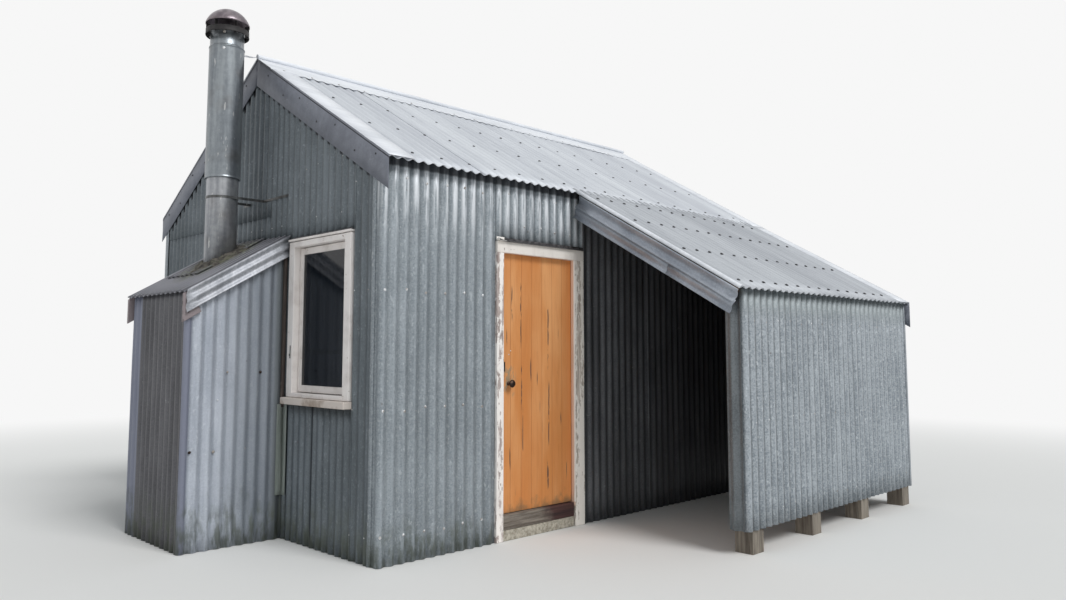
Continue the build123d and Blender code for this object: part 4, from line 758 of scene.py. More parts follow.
knob_finish = dark_metal("dark_metal")
nail_finish = nail_metal("nail_lead", shade(78, 78, 80), shade(40, 40, 42))
wall_nail_finish = nail_metal("wall_nails", shade(232, 234, 236), shade(152, 146, 140))
flue_finish = flue_iron("flue_iron", shade(150, 156, 160), shade(112, 118, 124), 0.5)
low_flue_finish = flue_iron("low_flue_iron", shade(182, 184, 187), shade(132, 135, 140), 0.8)
old_flashing_finish = flue_iron("old_flashing", shade(112, 114, 114), shade(66, 66, 66), 0.6)
green_finish = sawn("green_flashing", shade(156, 163, 158), shade(112, 120, 115), UPRIGHT)
cowl_top_finish = flue_iron("cowl_dome", shade(152, 143, 147), shade(98, 90, 96))
# Near black: soot, and painted shade under the dome.
cowl_shade_and_soot_finish = nail_metal("cowl_dark", shade(34, 31, 32), shade(18, 17, 18))
# Dark old iron, darkened further as painted shade under the flashing's ledge.
shaded_drip_finish = nail_metal("drip_iron", shade(92, 90, 92), shade(54, 52, 54))
print("finishes so far:", len(bpy.data.materials))

# %% [markdown]
# What is left is stone, mortar, glass and the door's sill, which is grey where boots have worn
# it and dark red-brown beyond. The panes are painted dark, for the shade of the room behind, and
# let only a little light through, and a faint ripple bends what they mirror.

# %% Stone, sill and glass
def mossy_mortar(name):
    crust = Finish(name)
    lump = crust.cloud(34, 5, roughness=0.7)
    colour = crust.mix(crust.between(lump, 0.38, 0.62), shade(38, 34, 32), shade(98, 94, 86))
    moss = crust.between(crust.cloud(18, 4), 0.5, 0.62)
    colour = crust.mix(moss * 0.45, colour, shade(104, 106, 86))
    return crust.done(colour, 0.92, 0.0, lump, 0.006)


def stone(name):
    rock = Finish(name)
    speck = rock.cloud(30, 5, roughness=0.7)
    colour = rock.mix(rock.between(speck, 0.35, 0.65), shade(142, 136, 122), shade(200, 194, 180))
    return rock.done(colour, 0.9, 0.0, speck, 0.004)


def sill_paint(name, start):
    """Grey from the sill's start, and red-brown half a metre along."""
    wood = Finish(name)
    side = wood.between(wood.along(0) + wood.cloud(10, 3) * 0.2, start + 0.45, start + 0.6)
    grain = wood.cloud(60, 5, wood.stretched(0.05, 1, 1), roughness=0.7)
    grey = wood.mix(wood.between(grain, 0.35, 0.65), shade(88, 80, 72), shade(142, 134, 124))
    red = wood.mix(wood.between(grain, 0.35, 0.65), shade(48, 30, 30), shade(84, 54, 50))
    return wood.done(wood.mix(side, grey, red), 0.75, 0.0, grain, 0.0015)


def window_glass(name):
    pane = Finish(name)
    # A near-black tint: painted shade of the dim room behind the panes.
    sockets = {"Base Color": shade(22, 27, 34), "Roughness": 0.06, "Metallic": 0.0, "Alpha": 0.72}
    sockets["Normal"] = pane.bumps(pane.cloud(3, 2), 0.002, 0.4)
    surface = pane.node("ShaderNodeBsdfPrincipled", None, sockets)
    pane.node("ShaderNodeOutputMaterial", None, {0: surface.outputs[0]})
    return pane.material


mound_finish = mossy_mortar("collar_mound")
stone_finish = stone("pale_stone")
sill_finish = sill_paint("sill_timber", door_box[0].x)
glass_finish = window_glass("window_glass")
print("all finishes:", len(bpy.data.materials))

# %% [markdown]
# Two small helpers do most of the making. `piece` turns a bmesh into an object that rides on a
# body, takes its finish and stands in for CAD nodes. `facing` gives the matrix that stands a
# flat sheet up against a wall: it is drawn lying down, its width along X and its length along
# Y, and then placed by the way each should run. Both kinds of chance are seeded first, because
# Blender's noise vectors would otherwise start from the clock and no two runs would agree.

# %% Making words
random.seed(11)
noise.seed_set(11)


def piece(name, shape, finish, body="hut", replaces=(), slot=None, smooth=False, closed=True):
    """Open sheets are laid face out already, so only closed shapes have their faces turned out."""
    if closed:
        bmesh.ops.recalc_face_normals(shape, faces=shape.faces)
    mesh = bpy.data.meshes.new(name)
    shape.to_mesh(mesh)
    shape.free()
    made = bpy.data.objects.new(name, mesh)
    scene.collection.objects.link(made)
    for face in mesh.polygons:
        face.use_smooth = smooth
    mesh.materials.append(finish)
    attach(made, body)
    if replaces:
        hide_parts(*replaces)
    print(name + ":", len(mesh.polygons), "faces")
    return made


def facing(corner, across, up):
    """Places a flat sheet: its width runs across, its length runs up, from a corner."""
    across = Vector(across).normalized()
    up = Vector(up).normalized()
    turn = Matrix((across, up, across.cross(up))).transposed().to_4x4()
    return Matrix.Translation(Vector(corner)) @ turn


UP = Vector((0, 0, 1))
TO_REAR = Vector((0, 1, 0))
TO_FRONT = Vector((0, -1, 0))
TO_NEAR = Vector((-1, 0, 0))
TO_FAR = Vector((1, 0, 0))
print("a sheet on the front wall faces", tuple(facing((0, 0, 0), TO_FAR, UP).col[2][:3]))

# %% [markdown]
# No old board is quite straight. `add_board` makes a length of timber between two corners,
# softens its edges, cuts it into short lengths and nudges every cut by slow noise. `boards`
# joins several of them into one piece.

# %% Boards
BOARD_STEP = 0.12


def add_board(shape, low, high, soften, wander):
    """A length of timber between two corners, cut into short lengths and nudged off true."""
    low = Vector(low)
    high = Vector(high)
    size = high - low
    made = bmesh.ops.create_cube(shape, size=1.0)["verts"]
    bmesh.ops.scale(shape, verts=made, vec=size)
    bmesh.ops.translate(shape, verts=made, vec=(low + high) / 2)
    edges = list({edge for vert in made for edge in vert.link_edges})
    soft = min(soften, min(size) * 0.3)
    bevelled = bmesh.ops.bevel(shape, geom=edges, offset=soft, segments=2, profile=0.5, affect="EDGES",
                               material=-1)
    faces = {face for vert in bevelled["verts"] for face in vert.link_faces}
    verts = {vert for face in faces for vert in face.verts}
    longest = max(range(3), key=lambda index: size[index])
    normal = [0, 0, 0]
    normal[longest] = 1
    cuts = int(size[longest] / BOARD_STEP)
    for index in range(1, cuts):
        at = low.copy()
        at[longest] += size[longest] * index / cuts
        geometry = list(verts) + list({edge for vert in verts for edge in vert.link_edges}) + list(faces)
        cut = bmesh.ops.bisect_plane(shape, geom=geometry, plane_co=at, plane_no=normal, dist=1e-6)
        verts = {item for item in cut["geom"] if isinstance(item, bmesh.types.BMVert)}
        faces = {item for item in cut["geom"] if isinstance(item, bmesh.types.BMFace)}
    for vert in verts:
        vert.co += noise.noise_vector(vert.co * 2.3 + low * 7) * wander
        vert.co.z = max(vert.co.z, 0.0)
    return list(verts)


def boards(name, boxes, finish, soften=0.003, wander=0.0012, **options):
    shape = bmesh.new()
    for low, high in boxes:
        add_board(shape, low, high, soften, wander)
    return piece(name, shape, finish, **options)


print("boards are cut every", BOARD_STEP, "metres")

# %% [markdown]
# Corrugated iron is one wave repeated. A flat grid is lifted by that wave, nudged by slow
# noise so that reflections wander as they do on thin sheet, and then stood up or laid down.
# Solidify gives it the thickness of iron, inwards from the face that shows.

# %% Corrugated sheets
WAVE_STEPS = 10
LENGTH_STEP = 0.16


def middle_grid(shape, columns, rows):
    """A flat grid from -0.5 to 0.5 both ways, ready to be bent."""
    return bmesh.ops.create_grid(shape, x_segments=columns, y_segments=rows, size=0.5)["verts"]


def corner_grid(shape, columns, rows, width, length):
    """A flat grid that starts at the origin and has the given size."""
    made = middle_grid(shape, columns, rows)
    bmesh.ops.translate(shape, verts=made, vec=(0.5, 0.5, 0))
    bmesh.ops.scale(shape, verts=made, vec=(width, length, 1))
    return made


def add_sheet(shape, corner, across, up, width, length, crest, lift=0.0, wander=0.0012, pitch=CORRUGATION,
              depth=WAVE_DEPTH):
    """One sheet whose troughs' back lies on the corner; crest is one crest's place across."""
    columns = max(2, round(width / pitch * WAVE_STEPS))
    rows = max(1, round(length / LENGTH_STEP))
    made = corner_grid(shape, columns, rows, width, length)
    place = facing(corner, across, up)
    for vert in made:
        turn = 2 * math.pi * (vert.co.x - crest) / pitch
        vert.co.z = depth * (0.5 + 0.5 * math.cos(turn)) + SHEET + lift
        vert.co.z += wander * noise.noise(place @ vert.co * 2.1)
    bmesh.ops.transform(shape, matrix=place, verts=made)


def thicken(made, thickness):
    """Gives an open sheet its thickness, behind the face that shows."""
    solid = made.modifiers.new("thickness", "SOLIDIFY")
    solid.thickness = thickness
    solid.offset = -1
    solid.use_even_offset = False


def iron_piece(name, shape, finish, replaces=(), slot="wall_iron", thickness=SHEET):
    made = piece(name, shape, finish, replaces=replaces, slot=slot, smooth=True, closed=False)
    thicken(made, thickness)


print("faces across one wave:", WAVE_STEPS)

# %% [markdown]
# Real walls are several sheets of ten waves, and every second one laps over its neighbours, so
# a lap is a real edge that stands a little proud. `sheet_run` gives the start, the width and
# the lift of each sheet of such a run.

# %% Laps
SHEET_WIDTH = 10 * CORRUGATION
SIDE_LAP = 0.03
LAP = 0.0016


def sheet_run(total):
    """Start, width and lift of each sheet along a wall or a roof."""
    start = 0.0
    lift = 0.0
    while start < total:
        yield start, min(SHEET_WIDTH + SIDE_LAP, total - start), lift
        start += SHEET_WIDTH
        lift = LAP - lift


print("sheets along the front:", len(list(sheet_run(far_x - near_x))))

# %% [markdown]
# The nails tell where the timbers are. Each is a low dome set on a crest. The roof's are lead
# grey and dark against the pale iron, the walls' are small and bright or rusty. All the nails
# of a surface are one joined mesh.

# %% Nails
def add_nail(shape, point, normal, radius):
    turn = Vector(normal).to_track_quat("Z", "Y").to_matrix().to_4x4()
    flat = Matrix.Diagonal((1, 1, 0.45, 1))
    place = Matrix.Translation(Vector(point)) @ turn @ flat
    bmesh.ops.create_uvsphere(shape, u_segments=8, v_segments=4, radius=radius, matrix=place)


def nails(name, points, normal, radius, finish, slot="roof_iron"):
    shape = bmesh.new()
    for point in points:
        add_nail(shape, point, normal, radius)
    piece(name, shape, finish, slot=slot, smooth=True)


print("nails are domes of 8 by 4 faces")

# %% [markdown]
# Walls stop just under the roof iron, so their sheets are cut along the slope. A sheet is made
# too long first, and a plane then takes away what stands above it.

# %% Cut to the slope
REVEAL = IRON / ROOF_COS + 0.004
UNDER_ROOF = 0.006


def cut_away(shape, point, normal):
    """Removes what lies on the normal's side of a plane."""
    geometry = shape.verts[:] + shape.edges[:] + shape.faces[:]
    bmesh.ops.bisect_plane(shape, geom=geometry, plane_co=point, plane_no=normal, clear_outer=True)


def cut_to_gable(shape):
    """Cuts a gable's sheets to just under both slopes of the roof."""
    for side in (-1, 1):
        normal = (0, side * ROOF_SIN, ROOF_COS)
        cut_away(shape, (0, ridge_y, ridge_z - REVEAL), normal)


print("gable iron stops", round(REVEAL, 4), "under the ridge line")

# %% [markdown]
# At a corner one sheet is bent round onto the next wall, which keeps the weather out without a
# flashing. Its grid is laid along a line that turns the corner on a small radius: for every
# distance along that line the helper gives the place and the way out of the wall.

# %% Sheets round a corner
CORNER_RADIUS = 0.018


def corner_line(start, corner, end, radius=CORNER_RADIUS):
    """Place and outward direction at a distance along a plan line that turns one corner."""
    start, corner, end = (Vector(point) for point in (start, corner, end))
    first = (corner - start).normalized()
    second = (end - corner).normalized()
    out_first = Vector((first.y, -first.x))
    straight = (corner - start).length - radius
    centre = start + first * straight - out_first * radius
    bend = radius * math.pi / 2

    def at(distance):
        if distance <= straight:
            return start + first * distance, out_first
        if distance >= straight + bend:
            spare = distance - straight - bend
            return corner + second * (radius + spare), Vector((second.y, -second.x))
        angle = (distance - straight) / radius
        out = out_first * math.cos(angle) + first * math.sin(angle)
        return centre + out * radius, out

    return at, straight + bend + (end - corner).length - radius


def add_bent_sheet(shape, line, z0, z1, crest, wander=0.0012):
    """An upright sheet along a corner line; crest is one crest's distance along it."""
    at, length = line
    columns = round(length / CORRUGATION * WAVE_STEPS)
    rows = max(1, round((z1 - z0) / LENGTH_STEP))
    for vert in middle_grid(shape, columns, rows):
        distance = (vert.co.x + 0.5) * length
        place, out = at(distance)
        wave = WAVE_DEPTH * (0.5 + 0.5 * math.cos(2 * math.pi * (distance - crest) / CORRUGATION))
        place = place + out * (wave + SHEET + LAP)
        vert.co = (place.x, place.y, z0 + (vert.co.y + 0.5) * (z1 - z0))
        nudge = wander * noise.noise(vert.co * 2.1)
        vert.co += Vector((out.x, out.y, 0)) * nudge


print("iron turns a corner on", CORNER_RADIUS, "metres")

# %% [markdown]
# The front wall is two sheets: one full height by the corner, bent round onto the gable, and
# one that runs from beside the door up over its head.

# %% Front wall
FRONT_LAP = 10.5 * CORRUGATION
FRONT_OVERLAP = 0.04
WRAP = 0.075
lap_x = near_x + FRONT_LAP


def front_sheet(shape, x0, x1, z0, z1, lift=0.0):
    corner = (x0, front_back, z0)
    add_sheet(shape, corner, TO_FAR, UP, x1 - x0, z1 - z0, front_crest - x0, lift)


shape = bmesh.new()
line = corner_line((gable_back, front_back + WRAP), (gable_back, front_back), (lap_x, front_back))
add_bent_sheet(shape, line, front_box[0].z, front_box[1].z, line[1] - (lap_x - front_crest))
front_sheet(shape, lap_x - FRONT_OVERLAP, front_box[1].x, front_box[0].z, front_box[1].z)
iron_piece("front_wall_iron", shape, front_finish, ["front_wall_near"])

shape = bmesh.new()
front_sheet(shape, over_box[0].x, over_box[1].x, over_box[0].z, over_box[1].z)
iron_piece("over_door_iron", shape, front_finish, ["front_wall_over_door"])

# %% [markdown]
# The same wall runs on inside the open woodshed, and the rear wall repeats it. Seen from
# behind, a sheet's width runs towards the near end.

# %% Bay and rear walls
shape = bmesh.new()
for start, width, lift in sheet_run(bay_box[1].x - bay_box[0].x):
    x = bay_box[0].x + start
    front_sheet(shape, x, x + width, bay_box[0].z, bay_box[1].z, lift)
iron_piece("bay_wall_iron", shape, shaded_bay_finish, ["front_wall_far"])

shape = bmesh.new()
rear_height = rear_box[1].z - rear_box[0].z
for start, width, lift in sheet_run(rear_box[1].x - rear_box[0].x):
    x = rear_box[1].x - start
    corner = (x, rear_box[1].y - IRON, rear_box[0].z)
    add_sheet(shape, corner, TO_NEAR, UP, width, rear_height, x - rear_crest, lift)
iron_piece("rear_wall_iron", shape, rear_finish, ["rear_wall"])

# %% [markdown]
# The near gable is a patchwork. Long sheets stand by the corner and behind the alcove, the
# gable's top is made of two more with an upright lap between them, and short sheets fill in
# under the window. All are cut to the slope just below the roof iron.

# %% Near gable
LEVEL_LAP_Z = 2.21
TOP_OVERLAP = 0.02
CLEAR_OF_ALCOVE = 0.001
UNDER_BENT_SHEET = -0.0006


def gable_sheet(shape, y0, y1, z0, z1, lift=0.0):
    """Seen from outside the width runs towards the front, from y1 back to y0."""
    corner = (gable_back, y1, z0)
    add_sheet(shape, corner, TO_FRONT, UP, y1 - y0, z1 - z0, y1 - gable_crest, lift)


alcove_y = (alcove_box[0].y, alcove_box[1].y)
window_y = (window_box[0].y, window_box[1].y)
sill_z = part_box("window_sill")[0].z
top_z = window_box[1].z
rear_end = rear_box[1].y - 0.003
beside_alcove = alcove_y[0] - CLEAR_OF_ALCOVE
shape = bmesh.new()
gable_sheet(shape, front_back + WRAP - SIDE_LAP, window_y[0], 0.0, ridge_z, UNDER_BENT_SHEET)
gable_sheet(shape, window_y[0] - SIDE_LAP, UNDER_LAP_Y, 0.0, sill_z, LAP)
gable_sheet(shape, UNDER_LAP_Y - TOP_OVERLAP, beside_alcove, 0.0, sill_z)
gable_sheet(shape, window_y[1], beside_alcove, sill_z, top_z)
gable_sheet(shape, window_y[0] - SIDE_LAP, TOP_LAP_Y, top_z, ridge_z, LAP)
gable_sheet(shape, TOP_LAP_Y - TOP_OVERLAP, alcove_y[1], LEVEL_LAP_Z - SIDE_LAP, ridge_z)
gable_sheet(shape, TOP_LAP_Y - TOP_OVERLAP, alcove_y[1], top_z, LEVEL_LAP_Z, -LAP)
gable_sheet(shape, alcove_y[1], rear_end, LEVEL_LAP_Z - SIDE_LAP, ridge_z)
gable_sheet(shape, alcove_y[1], rear_end, 0.0, LEVEL_LAP_Z, -LAP)
cut_to_gable(shape)
iron_piece("near_gable_iron", shape, shaded_gable_finish, ["near_gable_wall"])

# %% [markdown]
# The far gable has no opening: one run of long sheets, cut to both slopes.

# %% Far gable
shape = bmesh.new()
for start, width, lift in sheet_run(rear_box[1].y - front_box[0].y):
    y = front_box[0].y + start
    add_sheet(shape, (far_x - IRON, y, 0.0), TO_REAR, UP, width, ridge_z, far_gable_crest - y, lift)
cut_to_gable(shape)
iron_piece("far_gable_iron", shape, far_finish, ["far_gable_wall"])

# %% [markdown]
# Each slope of the roof is six sheets with their laps running down the slope. The woodshed's
# sheets nest under the main eave and carry on down at almost the same pitch.

# %% Roof sheets
SLOPE = (ridge_y - roof_box[0].y) / ROOF_COS - IRON * ROOF_TAN - 0.001


def roof_sheets(name, side, box, length, pitch, eave, crest_x, finish, node):
    """Sheets up one slope; side is -1 at the front and 1 at the rear."""
    shape = bmesh.new()
    up = Vector((0, -side * math.cos(pitch), math.sin(pitch)))
    across = Vector((-side, 0, 0))
    out = across.cross(up)
    start = box[0].x if side < 0 else box[1].x
    for run, width, lift in sheet_run(box[1].x - box[0].x):
        corner = Vector((start, eave[0], eave[1])) + across * run - out * IRON
        crest = -side * (crest_x - corner.x)
        add_sheet(shape, corner, across, up, width, length, crest, lift, 0.0008)
    iron_piece(name, shape, finish, [node], "roof_iron")


front_eave = (roof_box[0].y, eave_z)
rear_eave = (rear_roof_box[1].y, eave_z)
roof_sheets("roof_iron_front", -1, roof_box, SLOPE, ROOF_PITCH, front_eave, roof_crest, roof_finish,
            "roof_front")
roof_sheets("roof_iron_rear", 1, rear_roof_box, SLOPE, ROOF_PITCH, rear_eave, rear_roof_crest,
            rear_roof_finish, "roof_rear")
shed_eave_z = shed_roof_box[0].z + IRON * SHED_COS
shed_length = (shed_roof_box[1].y - shed_roof_box[0].y) / SHED_COS - 0.02
shed_eave = (shed_roof_box[0].y, shed_eave_z)
roof_sheets("shed_roof_iron", -1, shed_roof_box, shed_length, SHED_PITCH, shed_eave, shed_roof_crest,
            shed_roof_finish, "shed_roof")

# %% [markdown]
# The roof nails stand in rows over the purlins, on every third crest of the main roof and
# every second of the woodshed's, as the photograph shows them. Rows are measured up the slope
# from the eave.

# %% Roof nails
def slope_points(x0, x1, step, eave, pitch, side, rows):
    points = []
    for row in rows:
        y = eave[0] - side * row * math.cos(pitch)
        z = eave[1] + row * math.sin(pitch)
        x = x0
        while x < x1:
            points.append((x + random.uniform(-0.003, 0.003), y, z + 0.001))
            x += step
    return points


MAIN_ROWS = (0.14, 0.70, 1.23)
SHED_ROWS = (0.095, 0.56, 1.025, 1.42)
ROOF_NAIL = 0.011
SHED_ROOF_NAIL = 0.013
first_crest = roof_crest + 3 * CORRUGATION
for side, eave, name in ((-1, front_eave, "front"), (1, rear_eave, "rear")):
    rows = slope_points(first_crest, far_x - 0.22, 3 * CORRUGATION, eave, ROOF_PITCH, side, MAIN_ROWS)
    normal = (0, side * ROOF_SIN, ROOF_COS)
    nails("roof_nails_" + name, rows, normal, ROOF_NAIL, nail_finish)
rows = slope_points(shed_roof_crest + CORRUGATION, far_x - 0.2, 2 * CORRUGATION, shed_eave, SHED_PITCH, -1,
                    SHED_ROWS)
shed_out = Vector((0, -SHED_SIN, SHED_COS))
nails("shed_roof_nails", rows, shed_out, SHED_ROOF_NAIL, nail_finish)

# %% [markdown]
# Flashings are flat iron. A flat panel with very slow noise gives sheet metal its oil-canning:
# the middle buckles and the edges stay where they are nailed.

# %% Flat panels
HELD_EDGE = 0.1


def add_panel(shape, corner, across, up, width, length, wander=0.003, step=0.08):
    """Flat iron, slightly buckled; across turned towards up faces out."""
    columns = max(2, round(width / step))
    rows = max(2, round(length / step))
    made = corner_grid(shape, columns, rows, width, length)
    place = facing(corner, across, up)
    for vert in made:
        free = min(vert.co.x, width - vert.co.x, vert.co.y, length - vert.co.y, HELD_EDGE) / HELD_EDGE
        vert.co.z = wander * free * noise.noise(place @ vert.co * 3.1)
    bmesh.ops.transform(shape, matrix=place, verts=made)


print("panels are held along", HELD_EDGE, "metres of edge")

# %% [markdown]
# The roof's ends are closed by barges folded over the edge, with one leg down the gable and one
# lying on the roof. The two legs are two panels that meet on the fold, and planes trim the face
# upright at the ridge and the eave. Just under the fold runs a narrow dark strip of painted
# shade, for the crease that shows as a black line.

# %% Barges
BARGE_TOP = 0.2
FLASHING = 0.0015
OVER_CRESTS = FLASHING + 0.0006
FOLD_BELOW = 0.011
FOLD_HEIGHT = 0.008
FOLD_PROUD = 0.0008


def add_barge_face(target, run, low, up, down, along, height, outward):
    """A panel down from the fold, trimmed upright at the eave and at the top of its slope."""
    side, y, z, pitch, top_y = run
    made = bmesh.new()
    if side * outward > 0:
        add_panel(made, low, up, down, along, height)
    else:
        add_panel(made, low, down, up, height, along)
    cut_away(made, (0, y, 0), (0, side, 0))
    cut_away(made, (0, top_y, 0), (0, -side, 0))
    made_mesh = bpy.data.meshes.new("barge_part")
    made.to_mesh(made_mesh)
    made.free()
    target.from_mesh(made_mesh)
    bpy.data.meshes.remove(made_mesh)


def barge(name, x_face, outward, slopes, depth, node):
    """Barge flashings on one gable; slopes lists (side, eave y, eave z, pitch, top y)."""
    faces = bmesh.new()
    crease_shades = bmesh.new()
    legs = bmesh.new()
    for run in slopes:
        side, y, z, pitch, top_y = run
        up = Vector((0, -side * math.cos(pitch), math.sin(pitch)))
        down = Vector((0, -side * math.sin(pitch), -math.cos(pitch)))
        out = Vector((0, side * math.sin(pitch), math.cos(pitch)))
        length = abs(top_y - y) / math.cos(pitch)
        eave = Vector((x_face, y, z)) + out * OVER_CRESTS
        low = eave - up * depth
        fold = down * FOLD_BELOW + Vector((outward * FOLD_PROUD, 0, 0))
        add_barge_face(faces, run, low, up, down, length + 2 * depth, depth, outward)
        add_barge_face(crease_shades, run, low + fold, up, down, length + 2 * depth, FOLD_HEIGHT, outward)
        across = Vector((-side, 0, 0))
        start = x_face if across.x * outward < 0 else x_face - outward * BARGE_TOP
        add_panel(legs, Vector((start, eave.y, eave.z)), across, up, BARGE_TOP, length, 0.0015)
    iron_piece(name + "_face", faces, barge_finish, [node], "flashing_iron", FLASHING)
    iron_piece(name + "_fold", crease_shades, crease_shade_finish, (), "flashing_iron", FOLD_PROUD / 2)
    iron_piece(name + "_leg", legs, cap_finish, (), "flashing_iron", FLASHING)


near_barge_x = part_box("near_barges")[0].x + FLASHING
far_barge_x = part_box("far_barges")[1].x - FLASHING
main_slopes = [(-1, *front_eave, ROOF_PITCH, ridge_y), (1, *rear_eave, ROOF_PITCH, ridge_y)]
barge("near_barge", near_barge_x, -1, main_slopes, BARGE_DEPTH, "near_barges")
shed_run = (-1, *shed_eave, SHED_PITCH, front_eave[0])
barge("far_barge", far_barge_x, 1, main_slopes + [shed_run], BARGE_DEPTH, "far_barges")

# %% [markdown]
# The near barge is nailed to the timbers behind it, up and down its face by turns. Noise rather
# than a random draw moves the nails, so that adding one here changes nothing later.

# %% Barge nails
NAILS_A_SIDE = 7
SMALL_NAIL = 0.007
barge_nails = []
for side in (-1, 1):
    for step in range(NAILS_A_SIDE):
        reach = 0.2 + 0.27 * step
        uneven = 0.02 * noise.noise(Vector((side * 3.3, step * 1.7, 0.4)))
        below = 0.06 + (0.07 if step % 2 else 0.0) + uneven
        rise = ridge_z - reach * ROOF_SIN - below
        place = ridge_y + side * reach * ROOF_COS
        barge_nails.append((near_barge_x - FLASHING, place, rise))
nails("barge_nails", barge_nails, TO_NEAR, SMALL_NAIL, nail_finish, "flashing_iron")

# %% [markdown]
# The ridge cap is one long strip, rolled in the middle with a wing down each slope. A grid is
# bent over its own width: the wings lie on the crests, the roll stands on the ridge, and the
# feet dip a little into every trough where they have been dressed down with a mallet.

# %% Ridge cap
ridge_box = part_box("ridge_cap")
ROLL = 0.015
CAP_STEPS = 22
CAP_IRON = 0.001
wing = (ridge_box[1].y - ridge_box[0].y) / 2 / ROOF_COS
shape = bmesh.new()
length = ridge_box[1].x - ridge_box[0].x - 0.002
columns = round(length / CORRUGATION * 6)
roll_z = ridge_box[1].z - ROLL
for vert in middle_grid(shape, columns, 2 * CAP_STEPS):
    x = ridge_box[0].x + 0.001 + (vert.co.x + 0.5) * length
    part = vert.co.y * 2
    side = -1 if part < 0 else 1
    reach = 1 - abs(part)
    if reach > 0.5:
        angle = math.radians(150) * (reach - 0.5) * 2
        aside = ROLL * math.sin(math.pi - angle)
        vert.co = (x, ridge_y + side * aside, roll_z - ROLL * math.cos(math.pi - angle))
    else:
        down = wing * (1 - reach * 2)
        z = ridge_z + OVER_CRESTS + 0.0022 - down * ROOF_SIN
        foot = max(0.0, down / wing - 0.93) / 0.07
        trough = 0.5 - 0.5 * math.cos(2 * math.pi * (x - roof_crest) / CORRUGATION)
        aside = down * ROOF_COS + 0.001
        vert.co = (x, ridge_y + side * aside, z - foot * trough * 0.006)
        vert.co.z += 0.0012 * noise.noise(vert.co * 3)
iron_piece("ridge_cap_iron", shape, cap_finish, ["ridge_cap"], "flashing_iron", CAP_IRON)

down = wing * 0.9
z = ridge_z + 0.004 - down * ROOF_SIN
cap_nails = []
for side in (-1, 1):
    x = first_crest - 2 * CORRUGATION
    while x < far_x - 0.02:
        cap_nails.append((x, ridge_y + side * down * ROOF_COS, z))
        x += 3 * CORRUGATION
nails("ridge_nails", cap_nails, UP, ROOF_NAIL, wall_nail_finish)

# %% [markdown]
# The woodshed's outer wall hangs clear of the ground. At its open end the iron turns the
# corner in one rounded fold and shows a narrow return, whose iron is painted darker for shade.

# %% Woodshed walls
RETURN = 0.12
RETURN_IN = 0.02
FROM_FAR_EDGE = 0.003
under_shed_roof = IRON / SHED_COS + UNDER_ROOF
shed_wall_x, shed_face, shed_foot = shed_box[0]
shed_top = shed_eave_z + 0.04 * SHED_TAN - under_shed_roof
shed_height = shed_top - shed_foot
first_end = shed_wall_x + SHEET_WIDTH
shape = bmesh.new()
for start, width, lift in sheet_run(far_x - FROM_FAR_EDGE - (first_end - SIDE_LAP)):
    x = first_end - SIDE_LAP + start
    corner = (x, shed_face + IRON, shed_foot)
    add_sheet(shape, corner, TO_FAR, UP, width, shed_height, shed_crest - x, lift)
back = (shed_wall_x + IRON, shed_face + IRON)
line = corner_line((back[0], back[1] + RETURN_IN), back, (first_end, back[1]), 0.016)
add_bent_sheet(shape, line, shed_foot, shed_top, line[1] - (first_end - shed_crest))
iron_piece("shed_wall_iron", shape, shed_finish, ["shed_walls"])

shape = bmesh.new()
corner = (back[0], back[1] + RETURN, shed_foot)
add_sheet(shape, corner, TO_FRONT, UP, RETURN - 0.006, shed_height - 0.03, 0.6 * CORRUGATION)
iron_piece("shed_return_iron", shape, shaded_return_finish)

# %% [markdown]
# The woodshed's far end is closed, and its sheets are cut to the catslide's slope.

# %% Woodshed end
ABOVE_SLOPE = 2.4
shape = bmesh.new()
for start, width, lift in sheet_run(front_box[0].y - 0.002 - shed_face):
    y = shed_face + start
    corner = (far_x - IRON, y, shed_foot)
    add_sheet(shape, corner, TO_REAR, UP, width, ABOVE_SLOPE, far_gable_crest - y, lift)
cut_away(shape, (0, shed_roof_box[0].y, shed_eave_z - under_shed_roof), shed_out)
iron_piece("shed_end_wall_iron", shape, shed_end_finish)

# %% [markdown]
# The three outside corners that the camera doesn't see are covered by plain angles of flat
# iron, one leg on each wall, as is usual where two corrugated walls meet.

# %% Corner angles
def add_angle(shape, corner, outward_x, outward_y, z0, z1, leg=0.06):
    """An upright angle over the crests; the outward numbers are -1 or 1."""
    x, y = corner
    for out, inward in ((Vector((outward_x, 0, 0)), Vector((0, -outward_y, 0))),
                        (Vector((0, outward_y, 0)), Vector((-outward_x, 0, 0)))):
        across = UP.cross(out)
        place = Vector((x + outward_x * FLASHING, y + outward_y * FLASHING, z0))
        if across.dot(inward) < 0:
            place -= across * leg
        add_panel(shape, place, across, UP, leg, z1 - z0, 0.0012)


shape = bmesh.new()
rear_face = rear_box[1].y
angle_top = rear_box[1].z - 0.015
add_angle(shape, (near_x, rear_face), -1, 1, 0.0, angle_top)
add_angle(shape, (far_x, rear_face), 1, 1, 0.0, angle_top)
add_angle(shape, (far_x, shed_face), 1, -1, shed_foot, shed_top - 0.01, leg=0.03)
iron_piece("corner_angles", shape, angle_finish, (), "flashing_iron", CAP_IRON)

# %% [markdown]
# Wall nails are small and have weathered to white, and a few to rust. They stand in four rows,
# on every other crest, where the timbers cross behind the iron.

# %% Wall nails
WALL_ROWS = (0.16, 0.89, 1.6, 2.27)
OVER_DOOR_ROWS = (2.08, 2.3)
SHED_WALL_ROWS = (0.25, 0.8, 1.42)
GABLE_ROWS = (2.1, 2.45)
OTHER_CREST = 2 * CORRUGATION


def wall_rows(shape, axis, start, end, heights, face, normal, radius, skip=0.25):
    """Nails along a wall: axis 0 runs in x, 1 in y; some have been lost."""
    for height in heights:
        along = start
        while along < end:
            if random.random() > skip:
                point = [face, face, height + random.uniform(-0.012, 0.012)]
                point[axis] = along + random.uniform(-0.006, 0.006)
                add_nail(shape, point, normal, radius)
            along += OTHER_CREST


